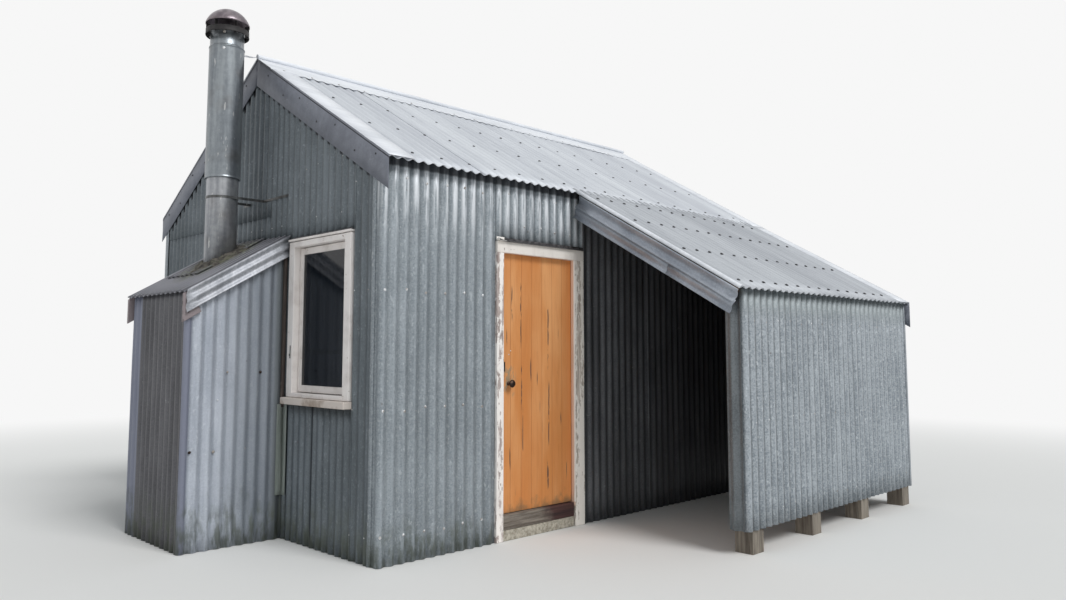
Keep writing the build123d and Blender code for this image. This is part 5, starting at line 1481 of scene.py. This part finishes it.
shape = bmesh.new()
front_y = front_box[0].y
beside_door = front_crest - 11 * CORRUGATION
wall_rows(shape, 0, beside_door, lap_x + 0.02, WALL_ROWS, front_y, TO_FRONT, 0.01, 0.15)
wall_rows(shape, 0, front_crest + OTHER_CREST, over_box[1].x, OVER_DOOR_ROWS, front_y, TO_FRONT, 0.008)
wall_rows(shape, 0, shed_crest + CORRUGATION, far_x, SHED_WALL_ROWS, shed_face, TO_FRONT, 0.006)
wall_rows(shape, 1, gable_crest + CORRUGATION, window_y[0], WALL_ROWS, near_x, TO_NEAR, 0.005, 0.4)
wall_rows(shape, 1, gable_crest + 5 * CORRUGATION, ridge_y + 0.5, GABLE_ROWS, near_x, TO_NEAR, 0.005, 0.4)
piece("wall_nails", shape, wall_nail_finish, slot="wall_iron", smooth=True)

# %% [markdown]
# Along the shed's open verge run two strips of small corrugated iron, laid on their side so
# that the waves follow the slope. The upper one laps over the lower along a dark nailed seam,
# and the lower one is two lengths with a lap of its own.

# %% Shed verge strip
STRIP = 0.165
UPPER_STRIP = 0.09
UPPER_PITCH = 0.086
UPPER_WAVE = 0.024
LOWER_PITCH = 0.074
LOWER_FROM = 0.074
LOWER_CREST = 0.034
LOWER_SPLIT = 0.63
STRIP_WANDER = 0.003
barge_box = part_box("shed_barge")
slope_up = Vector((0, SHED_COS, SHED_SIN))
slope_down = Vector((0, SHED_SIN, -SHED_COS))
strip_low = Vector((barge_box[1].x, barge_box[0].y, shed_eave_z - IRON / SHED_COS))
strip_length = (barge_box[1].y - barge_box[0].y - STRIP * SHED_SIN) / SHED_COS
strip_top = strip_low + slope_up * strip_length
shape = bmesh.new()
add_sheet(shape, strip_top, slope_down, -slope_up, UPPER_STRIP, strip_length, 0.004, 0.01, STRIP_WANDER,
          UPPER_PITCH, UPPER_WAVE)
lower = STRIP - LOWER_FROM
start = strip_top + slope_down * LOWER_FROM
first = strip_length * LOWER_SPLIT
add_sheet(shape, start, slope_down, -slope_up, lower, first, LOWER_CREST, 0.0045, STRIP_WANDER, LOWER_PITCH)
start = start - slope_up * (first - 0.02)
rest = strip_length - first + 0.02
add_sheet(shape, start, slope_down, -slope_up, lower, rest, LOWER_CREST, 0.003, STRIP_WANDER, LOWER_PITCH)
iron_piece("shed_barge_strip", shape, shed_strip_finish, ["shed_barge"], "flashing_iron")

# %% [markdown]
# The roof sheet's own edge is rolled down over the strip. A grid is bent round a line up the
# slope, from a little past the top of the roll to its outer side. A row of nails holds the
# strips along their seam.

# %% Rolled verge
ROLL_EDGE = 0.02
roll_low = Vector((shed_roof_box[0].x + ROLL_EDGE - 0.004, *shed_eave)) + shed_out * (0.004 - ROLL_EDGE)
shape = bmesh.new()
for vert in middle_grid(shape, 10, 10):
    angle = math.radians(-20 + 120 * (vert.co.y + 0.5))
    around = shed_out * math.cos(angle) - Vector((math.sin(angle), 0, 0))
    along = 0.002 + (vert.co.x + 0.5) * (shed_length - 0.06)
    vert.co = roll_low + slope_up * along + around * ROLL_EDGE
iron_piece("shed_roll_edge", shape, cap_finish, (), "flashing_iron")

strip_nails = []
for index in range(8):
    place = strip_low + slope_up * (0.1 + index * 0.195) + slope_down * 0.078
    strip_nails.append((barge_box[1].x - IRON - 0.005, place.y, place.z))
nails("shed_strip_nails", strip_nails, TO_NEAR, SMALL_NAIL, nail_finish, "flashing_iron")

# %% [markdown]
# The alcove is dressed like the hut in small. Its side sheets are bent round the corners onto
# the end wall, where they show as two lighter bands.

# %% Alcove walls
alcove_end_x = alcove_box[0].x
alcove_roof_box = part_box("alcove_roof")
alcove_eave_z = alcove_roof_box[0].z + IRON * ROOF_COS
alcove_eave_x = alcove_roof_box[0].x
alcove_top = (alcove_eave_x, 0, alcove_eave_z - IRON / ROOF_COS - UNDER_ROOF)
alcove_up = Vector((ROOF_COS, 0, ROOF_SIN))
alcove_out = Vector((-ROOF_SIN, 0, ROOF_COS))
alcove_down = Vector((ROOF_SIN, 0, -ROOF_COS))
NEAR_BAND = 0.035
FAR_BAND = 0.2
OLD_WANDER = 0.002
inner_x = alcove_end_x + IRON
near_back = alcove_y[0] + IRON
far_back = alcove_y[1] - IRON
wall_x = near_x + 0.012
shape = bmesh.new()
line = corner_line((inner_x, near_back + NEAR_BAND), (inner_x, near_back), (wall_x, near_back), 0.016)
add_bent_sheet(shape, line, 0, 2.1, line[1] - (wall_x - alcove_crest), OLD_WANDER)
line = corner_line((wall_x, far_back), (inner_x, far_back), (inner_x, far_back - FAR_BAND), 0.03)
add_bent_sheet(shape, line, 0, 2.1, wall_x - alcove_crest, OLD_WANDER)
cut_away(shape, alcove_top, alcove_out)
iron_piece("alcove_side_iron", shape, alcove_finish, ["alcove_walls"])

shape = bmesh.new()
corner = (inner_x, far_back - FAR_BAND + SIDE_LAP, 0)
width = far_back - near_back - FAR_BAND - NEAR_BAND + 2 * SIDE_LAP
add_sheet(shape, corner, TO_FRONT, UP, width, 1.7, corner[1] - alcove_end_crest, -LAP)
cut_away(shape, alcove_top, alcove_out)
iron_piece("alcove_end_iron", shape, shaded_alcove_end_finish)

# %% [markdown]
# A few nails show on the alcove's side, each of its own size. Two of them have rusted.

# %% Alcove nails
nail_y = alcove_y[0] + 0.003
shape = bmesh.new()
for x, z, radius in ((-2.248, 0.603, 0.011), (-2.173, 1.1, 0.008), (-2.23, 0.925, 0.005),
                     (-2.04, 0.61, 0.006)):
    add_nail(shape, (x, nail_y, z), TO_FRONT, radius)
piece("alcove_nails", shape, wall_nail_finish, slot="wall_iron", smooth=True)
rusty = [(x, nail_y, z) for x, z in ((-2.398, 0.611), (-1.948, 1.096))]
nails("alcove_rusty_nails", rusty, TO_FRONT, 0.01, knob_finish, "wall_iron")

# %% [markdown]
# The alcove's roof has two layers near the flue, because a patch was laid over the old sheet,
# and its lower edge throws a dark wavy line. Rolled strips, cut from corrugated iron like the
# shed's, close both verges.

# %% Alcove roof
PATCH_FROM = 0.255
PATCH_IN = 0.12
PATCH = 0.53
alcove_length = (near_x - alcove_eave_x) / ROOF_COS - 0.012
roof_width = alcove_roof_box[1].y - alcove_roof_box[0].y
corner = Vector((alcove_eave_x, alcove_roof_box[1].y, alcove_eave_z)) - alcove_out * IRON
crest = corner.y - alcove_roof_crest
shape = bmesh.new()
add_sheet(shape, corner, TO_FRONT, alcove_up, roof_width, alcove_length, crest)
patch = corner + alcove_up * PATCH_FROM + Vector((0, -PATCH_IN, 0))
patch_length = alcove_length - PATCH_FROM
add_sheet(shape, patch, TO_FRONT, alcove_up, PATCH, patch_length, crest - PATCH_IN, 0.013, 0.005)
iron_piece("alcove_roof_iron", shape, moss_finish, ["alcove_roof"], "roof_iron")

# %% [markdown]
# Each verge strip is made too long, on the outer face of its verge boards, and two upright
# planes trim it at the eave and at the gable.

# %% Alcove verge strips
VERGE_STRIP = 0.125
VERGE_PITCH = 0.058
VERGE_CREST = 0.008
STRIP_START = 0.016
PAST_EAVE = 0.1
boards_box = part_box("alcove_boards")
strip_length = alcove_length + 0.16
strip_z = alcove_eave_z - IRON / ROOF_COS
above_board = alcove_down * 0.012
shape = bmesh.new()
for y, way, reach in ((boards_box[0].y, alcove_up, -PAST_EAVE),
                      (boards_box[1].y, -alcove_up, strip_length - PAST_EAVE)):
    corner = Vector((alcove_eave_x, y, strip_z)) + alcove_up * reach - above_board
    add_sheet(shape, corner, alcove_down, way, VERGE_STRIP, strip_length, VERGE_CREST, 0.001, STRIP_WANDER,
              VERGE_PITCH)
cut_away(shape, (alcove_eave_x + STRIP_START, 0, 0), TO_NEAR)
cut_away(shape, (near_x - 0.002, 0, 0), TO_FAR)
iron_piece("alcove_verge_strips", shape, strip_finish, ["alcove_verges"], "roof_iron")

# %% [markdown]
# Under the strips are painted verge boards. Only their lower ends show, cut upright at the
# eave, so each board is made flat, turned to the slope and trimmed by planes. A cut leaves a
# board open, and filling its holes closes it again.

# %% Alcove verge boards
VERGE_BOARD = 0.0195
slope = Matrix((alcove_up, alcove_down, TO_REAR)).transposed().to_4x4()
board_foot = Vector((alcove_eave_x, 0, strip_z - 0.002)) - alcove_up * 0.12
shape = bmesh.new()
for y, start, end, depth in ((boards_box[0].y, 0.0, 0.165, 0.155), (boards_box[0].y, 0.1652, 1.1, 0.1),
                             (alcove_y[1], 0.0, 1.1, 0.145)):
    made = add_board(shape, (start, 0, 0), (end, depth, VERGE_BOARD), 0.003, 0.001)
    place = Matrix.Translation(board_foot + Vector((0, y, 0))) @ slope
    bmesh.ops.transform(shape, matrix=place, verts=made)
for x, side in ((alcove_eave_x + 0.002, -1), (near_x - 0.002, 1)):
    cut_away(shape, (x, 0, 0), (side, 0, 0))
bmesh.ops.holes_fill(shape, edges=[edge for edge in shape.edges if edge.is_boundary])
piece("alcove_verge_boards", shape, verge_board_finish, replaces=["alcove_boards"], slot="white_timber")

# %% [markdown]
# The door leaf is seven boards with rounded edges, so that the joints between them are real
# grooves, on three ledges at the back. It swings, so it rides on the door's own body.

# %% Door leaf
BOARD_GAP = 0.0008
LEAF_BOARD = 0.02
LEDGE = 0.11
LEDGE_IN = 0.025
low, high = door_box
board_width = (high.x - low.x) / LEAF_BOARDS
shape = bmesh.new()
for index in range(LEAF_BOARDS):
    x0 = low.x + index * board_width + BOARD_GAP / 2
    x1 = low.x + (index + 1) * board_width - BOARD_GAP / 2
    add_board(shape, (x0, low.y, low.z), (x1, low.y + LEAF_BOARD, high.z), 0.0016, 0.0006)
for z in (0.33, 0.962, 1.626):
    start = (low.x + LEDGE_IN, low.y + LEAF_BOARD, z)
    add_board(shape, start, (high.x - LEDGE_IN, high.y, z + LEDGE), 0.003, 0.0006)
piece("door_boards", shape, door_finish, "door", ["door_leaf"], "door_boards")

# %% [markdown]
# The knob is turned metal: a rose plate, a thin neck and a flattened ball, made by spinning
# half its outline. The same knob is on the inside.

# %% Door knob
knob_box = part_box("door_knob")
KNOB = 0.026
knob_x = knob_box[1].x - KNOB
knob_z = knob_box[0].z + KNOB


def add_turned(shape, outline, point, direction, steps=24):
    """Spins an outline of (radius, distance) points; ends on the axis are closed."""
    axis = Vector(direction)
    side = axis.orthogonal().normalized()
    centre = Vector(point)
    verts = [shape.verts.new(centre + side * radius + axis * far) for radius, far in outline]
    edges = [shape.edges.new(pair) for pair in zip(verts, verts[1:])]
    bmesh.ops.spin(shape, geom=verts + edges, cent=centre, axis=axis, angle=2 * math.pi, steps=steps,
                   use_merge=True)
    bmesh.ops.remove_doubles(shape, verts=shape.verts, dist=1e-5)


shape = bmesh.new()
reach = low.y - knob_box[0].y
for direction, surface in ((TO_FRONT, low.y), (TO_REAR, high.y)):
    outline = [(0, 0), (0.014, 0), (0.014, 0.001), (0.012, 0.003), (0.008, 0.004), (0.007, reach - 0.03)]
    for index in range(7):
        angle = math.radians(20 + 160 * index / 6)
        outline.append((KNOB * math.sin(angle), reach - 0.0145 - 0.0145 * math.cos(angle)))
    outline[-1] = (0, reach)
    add_turned(shape, outline, (knob_x, surface, knob_z), direction)
piece("door_knob_turned", shape, knob_finish, "door", ["door_knob"], "hardware", smooth=True)

# %% [markdown]
# A worn rim lock sits by the edge above the knob: a thin plate with the end of its bolt, and
# two screws in the boards beside it.

# %% Lock
plate = knob_box[0]
lock = [((plate.x, low.y - 0.003, plate.z + 0.107), (plate.x + 0.022, low.y + 0.001, plate.z + 0.17)),
        ((plate.x + 0.001, low.y - 0.012, plate.z + 0.12), (plate.x + 0.012, low.y - 0.002, plate.z + 0.14))]
boards("door_lock", lock, knob_finish, 0.002, 0, body="door", slot="hardware")
shape = bmesh.new()
for x, z in ((0.085, 1.21), (0.1, 1.235)):
    add_nail(shape, (low.x + x, low.y - 0.0005, z), TO_FRONT, 0.005)
piece("door_screws", shape, wall_nail_finish, "door", slot="hardware", smooth=True)

# %% [markdown]
# The door frame's wide flat faces carry the white paint. Inside them run the darker reveals
# and a thin white stop bead.

# %% Door frame
STOP = 0.012
REVEAL_DEPTH = 0.04
REVEAL_FOOT = 0.143
jamb_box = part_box("door_jambs")
head_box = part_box("door_head")
step_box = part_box("step_block")
sill_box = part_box("door_sill")
left, right = sill_box[0].x, sill_box[1].x
face_y = (jamb_box[0].y, front_back)
inner_y = jamb_box[1].y
jamb_z = jamb_box[1].z
leaf_y = door_box[0].y - 0.005
near_jamb = [((jamb_box[0].x, face_y[0], 0), (left, face_y[1], jamb_z))]
boards("near_jamb", near_jamb, jamb_finish, 0.004, 0.002, replaces=["door_jambs"], slot="white_timber")
far_jamb = [((right + 0.008, face_y[0], 0), (jamb_box[1].x, face_y[1], jamb_z))]
boards("far_jamb", far_jamb, far_jamb_finish, 0.004, 0.002, slot="white_timber")
reveals = []
for edge, sign in ((left, -1), (right, 1)):
    outer = sorted((edge, edge + sign * REVEAL_DEPTH))
    rebated = sorted((edge + sign * STOP, edge + sign * REVEAL_DEPTH))
    reveals.append(((outer[0], face_y[0] + 0.004, REVEAL_FOOT), (outer[1], leaf_y, jamb_z)))
    reveals.append(((rebated[0], leaf_y, REVEAL_FOOT), (rebated[1], inner_y, jamb_z)))
boards("jamb_reveals", reveals, reveal_finish, 0.002, slot="white_timber")
bead = [((right - 0.001, face_y[0] - 0.002, 0.17), (right + 0.009, face_y[0] + 0.012, jamb_z))]
boards("stop_bead", bead, bead_finish, slot="white_timber")
head_z = head_box[0].z
head_top = head_z + REVEAL_DEPTH
low_x, high_x = left - REVEAL_DEPTH, right + REVEAL_DEPTH
head = [((head_box[0].x, face_y[0] - 0.001, head_z), (head_box[1].x, face_y[1], head_box[1].z)),
        ((low_x, face_y[0] + 0.004, head_z), (high_x, leaf_y, head_top)),
        ((low_x, leaf_y, head_z + STOP), (high_x, inner_y, head_top))]
boards("door_head_face", head, head_finish, 0.004, 0.0015, replaces=["door_head"], slot="white_timber")

# %% [markdown]
# A thin strip of iron sheds water over the door head. It has been bent and nailed many times:
# its front edge waves, and its left end has lifted and lost its paint.

# %% Head flashings
def add_drip(shape, corner, across, out, width, depth, rise, curl):
    """A strip folded once: a ledge that slopes out and a leg up the wall."""
    for vert in middle_grid(shape, 40, 6):
        along = vert.co.x + 0.5
        part = vert.co.y + 0.5
        if part < 0.5:
            offset = out * (depth * (1 - part * 2)) - Vector((0, 0, 0.002 * (1 - part * 2)))
            wave = 0.0035 * noise.noise(Vector((along * 9, part, 0))) * (1 - part * 2)
            lifted = curl * max(0.0, 1 - along / 0.1) ** 2 * (1 - part)
            offset.z += wave + lifted
        else:
            offset = Vector((0, 0, rise * (part * 2 - 1))) + out * 0.0015
        vert.co = Vector(corner) + across * (along * width) + offset


shape = bmesh.new()
door_flash = (head_box[0].x - 0.004, front_box[0].y - 0.001, head_box[1].z + 0.0012)
add_drip(shape, door_flash, TO_FAR, TO_FRONT, head_box[1].x - head_box[0].x, 0.026, 0.022, 0.016)
window_flash = (near_x - 0.001, window_box[1].y - 0.002, window_box[1].z + 0.0012)
window_width = window_box[1].y - window_box[0].y
add_drip(shape, window_flash, TO_FRONT, TO_NEAR, window_width - 0.004, 0.015, 0.01, 0.0)
iron_piece("head_flashing_strips", shape, shaded_drip_finish, ["head_flashings"], "flashing_iron", FLASHING)
shape = bmesh.new()
worn_end = (head_box[0].x - 0.006, front_box[0].y - 0.002, head_box[1].z + 0.003)
add_drip(shape, worn_end, TO_FAR, TO_FRONT, 0.07, 0.028, 0.024, 0.02)
iron_piece("worn_flashing_end", shape, bead_finish, (), "flashing_iron", FLASHING)

# %% [markdown]
# Under the door lie a weathered timber sill and a block of pale stone with worn, wandering
# edges.

# %% Sill and step
low, high = sill_box
sill = [((low.x, low.y, step_box[1].z), (high.x, low.y + 0.02, high.z)),
        ((low.x, low.y + 0.02, low.z), (high.x, high.y, high.z))]
boards("door_sill_timber", sill, sill_finish, 0.006, 0.002, replaces=["door_sill"], slot="sill_timber")
low, high = step_box
step = [((low.x + 0.002, low.y + 0.002, 0.0), (high.x - 0.002, high.y, high.z - 0.001))]
boards("step_stone", step, stone_finish, 0.008, 0.004, replaces=["step_block"], slot="step_stone")

# %% [markdown]
# The window is joinery: a frame under a thin drip cap, a sash set back in it and a projecting
# sill, all with the softened edges that many coats of paint leave. A dark gap parts the cap
# from the frame. A small hasp is worn into the left stile.

# %% Window
def ring(x0, x1, y0, y1, z0, z1, stile, rail, foot):
    """The four members of a frame: two stiles, and a head and foot between them."""
    return [
        ((x0, y0, z0), (x1, y0 + stile, z1)),
        ((x0, y1 - stile, z0), (x1, y1, z1)),
        ((x0, y0 + stile, z1 - rail), (x1, y1 - stile, z1)),
        ((x0, y0 + stile, z0), (x1, y1 - stile, z0 + foot)),
    ]


DRIP_CAP = 0.014
CAP_GAP = 0.005
CAP_PROUD = 0.01
HEAD = 0.056
STILE = 0.07
FOOT = 0.028
SASH = 0.05
SASH_SET_BACK = 0.012
SASH_GAP = 0.005
low, high = window_box
head_z = high.z - DRIP_CAP - CAP_GAP
members = ring(low.x, high.x, low.y, high.y, low.z, head_z, STILE, HEAD - DRIP_CAP - CAP_GAP, FOOT)
members.append(((low.x - CAP_PROUD, low.y - 0.003, high.z - DRIP_CAP), (high.x, high.y + 0.003, high.z)))
boards("window_frame_members", members, window_finish, 0.004, replaces=["window_frame"], slot="window_timber")
low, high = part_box("window_sash")
member = SASH - SASH_GAP
members = ring(low.x + SASH_SET_BACK, high.x, low.y + SASH_GAP, high.y - SASH_GAP, low.z + SASH_GAP,
               high.z - SASH_GAP, member, member, member)
boards("window_sash_members", members, sash_finish, 0.005, replaces=["window_sash"], slot="window_timber")
low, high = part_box("window_sill")
sill = [((low.x, low.y, low.z + 0.004), (high.x, high.y, high.z - 0.002))]
boards("window_sill_board", sill, window_sill_finish, 0.006, replaces=["window_sill"], slot="window_timber")
x, y = window_box[0].x, window_box[1].y - 0.046
hasp = [((x - 0.005, y - 0.005, 1.185), (x + 0.002, y, 1.27)),
        ((x - 0.009, y - 0.007, 1.2), (x - 0.002, y + 0.002, 1.216))]
boards("window_hasp", hasp, old_flashing_finish, 0.002, 0, slot="hardware")

# %% [markdown]
# Where the alcove's side meets the gable, a thin strip of brown timber fills the corner. Below
# the sill a flat bent iron covers the joint instead, gone green and ragged at the foot.

# %% Corner strip
FLASHING_FOOT = 0.285
strip_face = boards_box[0].y + 0.006
strip = [((near_x - 0.022, strip_face, sill_z - 0.02), (near_x - 0.002, alcove_y[0] + 0.012, 1.96))]
boards("cover_strip", strip, brown_finish, 0.003, 0.002, slot="white_timber")
shape = bmesh.new()
flashing_y = alcove_y[0] - 0.004
height = sill_z - FLASHING_FOOT
add_panel(shape, (near_x - 0.048, flashing_y, FLASHING_FOOT), TO_FAR, UP, 0.046, height, 0.002, 0.03)
add_panel(shape, (near_x - 0.005, flashing_y, FLASHING_FOOT), TO_FRONT, UP, 0.05, height, 0.002, 0.03)
thicken(piece("corner_flashing", shape, green_finish, slot="flashing_iron", smooth=True), FLASHING)

# %% [markdown]
# The flue is turned: one outline, spun round the flue's own axis. The casing slips over the
# pipe and carries a rolled band near its top.

# %% Flue
FLUE_STEPS = 64
BAND_WIDTH = 0.01
casing_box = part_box("flue_casing")
cap_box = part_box("flue_cap")
pipe_radius = (flue_box[1].x - flue_box[0].x) / 2
casing_radius = (casing_box[1].x - casing_box[0].x) / 2
cap_radius = (cap_box[1].x - cap_box[0].x) / 2
casing_foot = casing_box[0].z
casing_top = casing_box[1].z


def turned(outline):
    """A closed outline of (radius, height) points, spun round the flue's axis."""
    shape = bmesh.new()
    axis = Vector((FLUE_MIDDLE.x, FLUE_MIDDLE.y, 0))
    verts = [shape.verts.new(axis + Vector((radius, 0, z))) for radius, z in outline]
    edges = [shape.edges.new((verts[index], verts[index - 1])) for index in range(len(verts))]
    bmesh.ops.spin(shape, geom=verts + edges, cent=axis, axis=UP, angle=2 * math.pi, steps=FLUE_STEPS,
                   use_merge=True)
    bmesh.ops.remove_doubles(shape, verts=shape.verts, dist=1e-5)
    return shape


def band(z, radius, stand):
    """A rolled bead round the casing, as points of its outline."""
    points = []
    for index in range(5):
        angle = math.pi * index / 4
        points.append((radius + stand * math.sin(angle), z + BAND_WIDTH * (1 - math.cos(angle)) / 2))
    return points


foot, top = flue_box[0].z, flue_box[1].z
pipe = [(pipe_radius - 0.002, foot), (pipe_radius, foot), (pipe_radius, top), (pipe_radius - 0.002, top)]
piece("flue_pipe_spun", turned(pipe), low_flue_finish, replaces=["flue_pipe"], slot="flue_iron", smooth=True)
BAND_Z = 3.371
neck = casing_radius - 0.004
outline = [(pipe_radius + 0.001, casing_foot)]
outline += band(casing_foot, casing_radius - 0.001, 0.002) + [(casing_radius, casing_foot + 0.02)]
outline += [(casing_radius, BAND_Z - 0.01)] + band(BAND_Z, casing_radius, 0.003)
outline += [(neck, BAND_Z + 0.02), (neck, casing_top), (neck - 0.002, casing_top)]
outline += [(neck - 0.002, casing_foot + 0.004), (pipe_radius + 0.001, casing_foot + 0.004)]
piece("flue_casing_spun", turned(outline), flue_finish, replaces=["flue_casing"], slot="flue_iron",
      smooth=True)

# %% [markdown]
# The cowl is a bright dome over a gap, with a wind ring under it that is painted dark for the
# shade under the dome and for soot. The dome is part of a ball whose size follows from the cap's
# radius and rise. Six thin fins carry it.

# %% Cowl
CAP_RISE = 0.108
RING = 0.042
brim = cap_box[1].z - CAP_RISE
ball = (cap_radius ** 2 + CAP_RISE ** 2) / (2 * CAP_RISE)
sweep = math.asin(cap_radius / ball)
dome = []
for index in range(13):
    turn = sweep * (1 - index / 12)
    dome.append((ball * math.sin(turn), brim + CAP_RISE - ball + ball * math.cos(turn)))
rim = [(cap_radius - 0.003, brim - 0.008), (cap_radius, brim - 0.007), (cap_radius, brim - 0.001)]
inside = [(max(radius - 0.002, 0), z - 0.002) for radius, z in reversed(dome)]
outline = rim + dome + inside[:-1] + [(cap_radius - 0.003, brim - 0.002)]
piece("cowl_dome_spun", turned(outline), cowl_top_finish, replaces=["flue_cap"], slot="flue_iron",
      smooth=True)
ring_foot = cap_box[0].z
outer, inner = cap_radius - 0.003, cap_radius - 0.005
wind = [(outer, ring_foot), (cap_radius - 0.001, ring_foot + 0.005), (outer, ring_foot + 0.01),
        (outer, ring_foot + RING), (inner, ring_foot + RING), (inner, ring_foot)]
piece("cowl_ring_spun", turned(wind), cowl_shade_and_soot_finish, slot="flue_iron", smooth=True)
shape = bmesh.new()
fin_low = (casing_radius - 0.003, -0.001, ring_foot + 0.004)
fin_high = (cap_radius - 0.004, 0.001, brim - 0.002)
for index in range(6):
    angle = math.radians(30 + 60 * index)
    made = add_board(shape, fin_low, fin_high, 0.0003, 0)
    bmesh.ops.rotate(shape, verts=made, matrix=Matrix.Rotation(angle, 3, "Z"))
    bmesh.ops.translate(shape, verts=made, vec=(FLUE_MIDDLE.x, FLUE_MIDDLE.y, 0))
piece("cowl_fins", shape, cowl_shade_and_soot_finish, slot="flue_iron")

# %% [markdown]
# Bolt heads hold the fins and the band. Each is turned like the knob, pointing out from the
# flue's axis.

# %% Casing bolts
BOLT = [(0, 0), (0.011, 0), (0.011, 0.003), (0.008, 0.007), (0, 0.008)]
shape = bmesh.new()
for degrees, z in ((236, 3.47), (52, 3.47), (236, BAND_Z - 0.02), (140, 3.47)):
    out = Vector((math.cos(math.radians(degrees)), math.sin(math.radians(degrees)), 0))
    place = Vector((FLUE_MIDDLE.x, FLUE_MIDDLE.y, z)) + out * neck
    add_turned(shape, BOLT, place, out, 10)
piece("casing_bolts", shape, wall_nail_finish, slot="hardware", smooth=True)

# %% [markdown]
# Half way up, a thin strap holds the pipe to the gable. It is one flat band spun round the
# pipe, and two arms that run back to the wall and are screwed there.

# %% Strap
STRAP = 0.018
STRAP_IRON = 0.003
FRONT_FOOT = 0.355
REAR_FOOT = 0.1
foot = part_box("flue_strap")[0].z
top = foot + STRAP
outer = pipe_radius + STRAP_IRON
shape = turned([(pipe_radius, foot), (outer, foot), (outer, top), (pipe_radius, top)])
for side, reach in ((-1, FRONT_FOOT), (1, REAR_FOOT)):
    inner = FLUE_MIDDLE.y + side * pipe_radius
    arm = sorted((inner, inner + side * STRAP_IRON))
    add_board(shape, (FLUE_MIDDLE.x, arm[0], foot), (near_x, arm[1], top), 0.0005, 0.0)
    screwed = sorted((inner, inner + side * reach))
    add_board(shape, (near_x - 0.003, screwed[0], foot), (near_x - 0.0005, screwed[1], top), 0.0005, 0.0)
piece("flue_strap_iron", shape, old_flashing_finish, replaces=["flue_strap"], slot="flashing_iron")

# %% [markdown]
# A stay of two flat irons ties the casing's band to the end of the ridge. It is short, taut
# and slightly twisted.

# %% Stay
STAY = 0.012
STAY_IRON = 0.002
STAY_SAG = 0.006
shape = bmesh.new()
flue_point = Vector((FLUE_MIDDLE.x, FLUE_MIDDLE.y, BAND_Z + 0.012))
ridge_point = Vector((near_x - 0.006, ridge_y - 0.004, ridge_z + 0.01))
way = ridge_point - flue_point
way.z = 0
start = flue_point + way.normalized() * (casing_radius - 0.002)
for offset, drop in ((0.03, 0.0), (-0.03, 0.012)):
    first = start + Vector((0, offset, -drop))
    run = ridge_point - first
    for vert in middle_grid(shape, 10, 2):
        part = vert.co.x + 0.5
        bow = math.sin(math.pi * part)
        twist = math.radians(50) * bow
        across = Vector((0, math.cos(twist), math.sin(twist))) * vert.co.y * STAY
        vert.co = first + run * part + across - UP * STAY_SAG * bow
thicken(piece("flue_stay", shape, strip_finish, slot="flashing_iron", smooth=True), STAY_IRON)

# %% [markdown]
# Where the flue comes through the alcove roof, old mortar, moss and rust make one rough
# collar. It is a low mound spun round the pipe, leaned to the slope and broken up by noise.

# %% Collar
MOUND = [(0.001, -0.03), (0.001, 0.03), (0.02, 0.034), (0.045, 0.02), (0.08, 0.006), (0.11, -0.01),
         (0.11, -0.03)]
base_z = alcove_eave_z + (FLUE_MIDDLE.x - alcove_eave_x) * ROOF_TAN
shape = turned([(pipe_radius + out, base_z + up) for out, up in MOUND])
bmesh.ops.subdivide_edges(shape, edges=shape.edges[:], cuts=1, use_grid_fill=True)
for vert in shape.verts:
    away = math.hypot(vert.co.x - FLUE_MIDDLE.x, vert.co.y - FLUE_MIDDLE.y) - pipe_radius
    vert.co.z += (vert.co.x - FLUE_MIDDLE.x) * ROOF_TAN
    if away > 0.004:
        vert.co += noise.noise_vector(vert.co * 21) * 0.012 + noise.noise_vector(vert.co * 60) * 0.005
piece("flue_collar_mound", shape, mound_finish, replaces=["flue_collar"], slot="roof_iron", smooth=True)

# %% [markdown]
# The nodes whose CAD shape is already right only need their finish. Each has its material
# slots filled here.

# %% Finishes on the CAD nodes
CAD_FINISHES = {
    "piles": post_finish, "floor_frame": frame_finish, "floor": floor_finish, "hearth": stone_finish,
    "front_frame": frame_finish, "rear_frame": frame_finish, "near_gable_frame": frame_finish,
    "far_gable_frame": frame_finish, "roof_frame_front": frame_finish, "roof_frame_rear": frame_finish,
    "ridge_and_ties": frame_finish, "shed_roof_frame": frame_finish, "shed_wall_frame": frame_finish,
    "shed_end_frame": frame_finish, "alcove_frame": frame_finish, "alcove_boards": verge_board_finish,
    "door_hinges": knob_finish, "hinge_flaps": knob_finish, "window_glass": glass_finish,
}
for name, finish in CAD_FINISHES.items():
    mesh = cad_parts[name].data
    mesh.materials.clear()
    mesh.materials.append(finish)
print("finished CAD nodes:", len(CAD_FINISHES))

# %% [markdown]
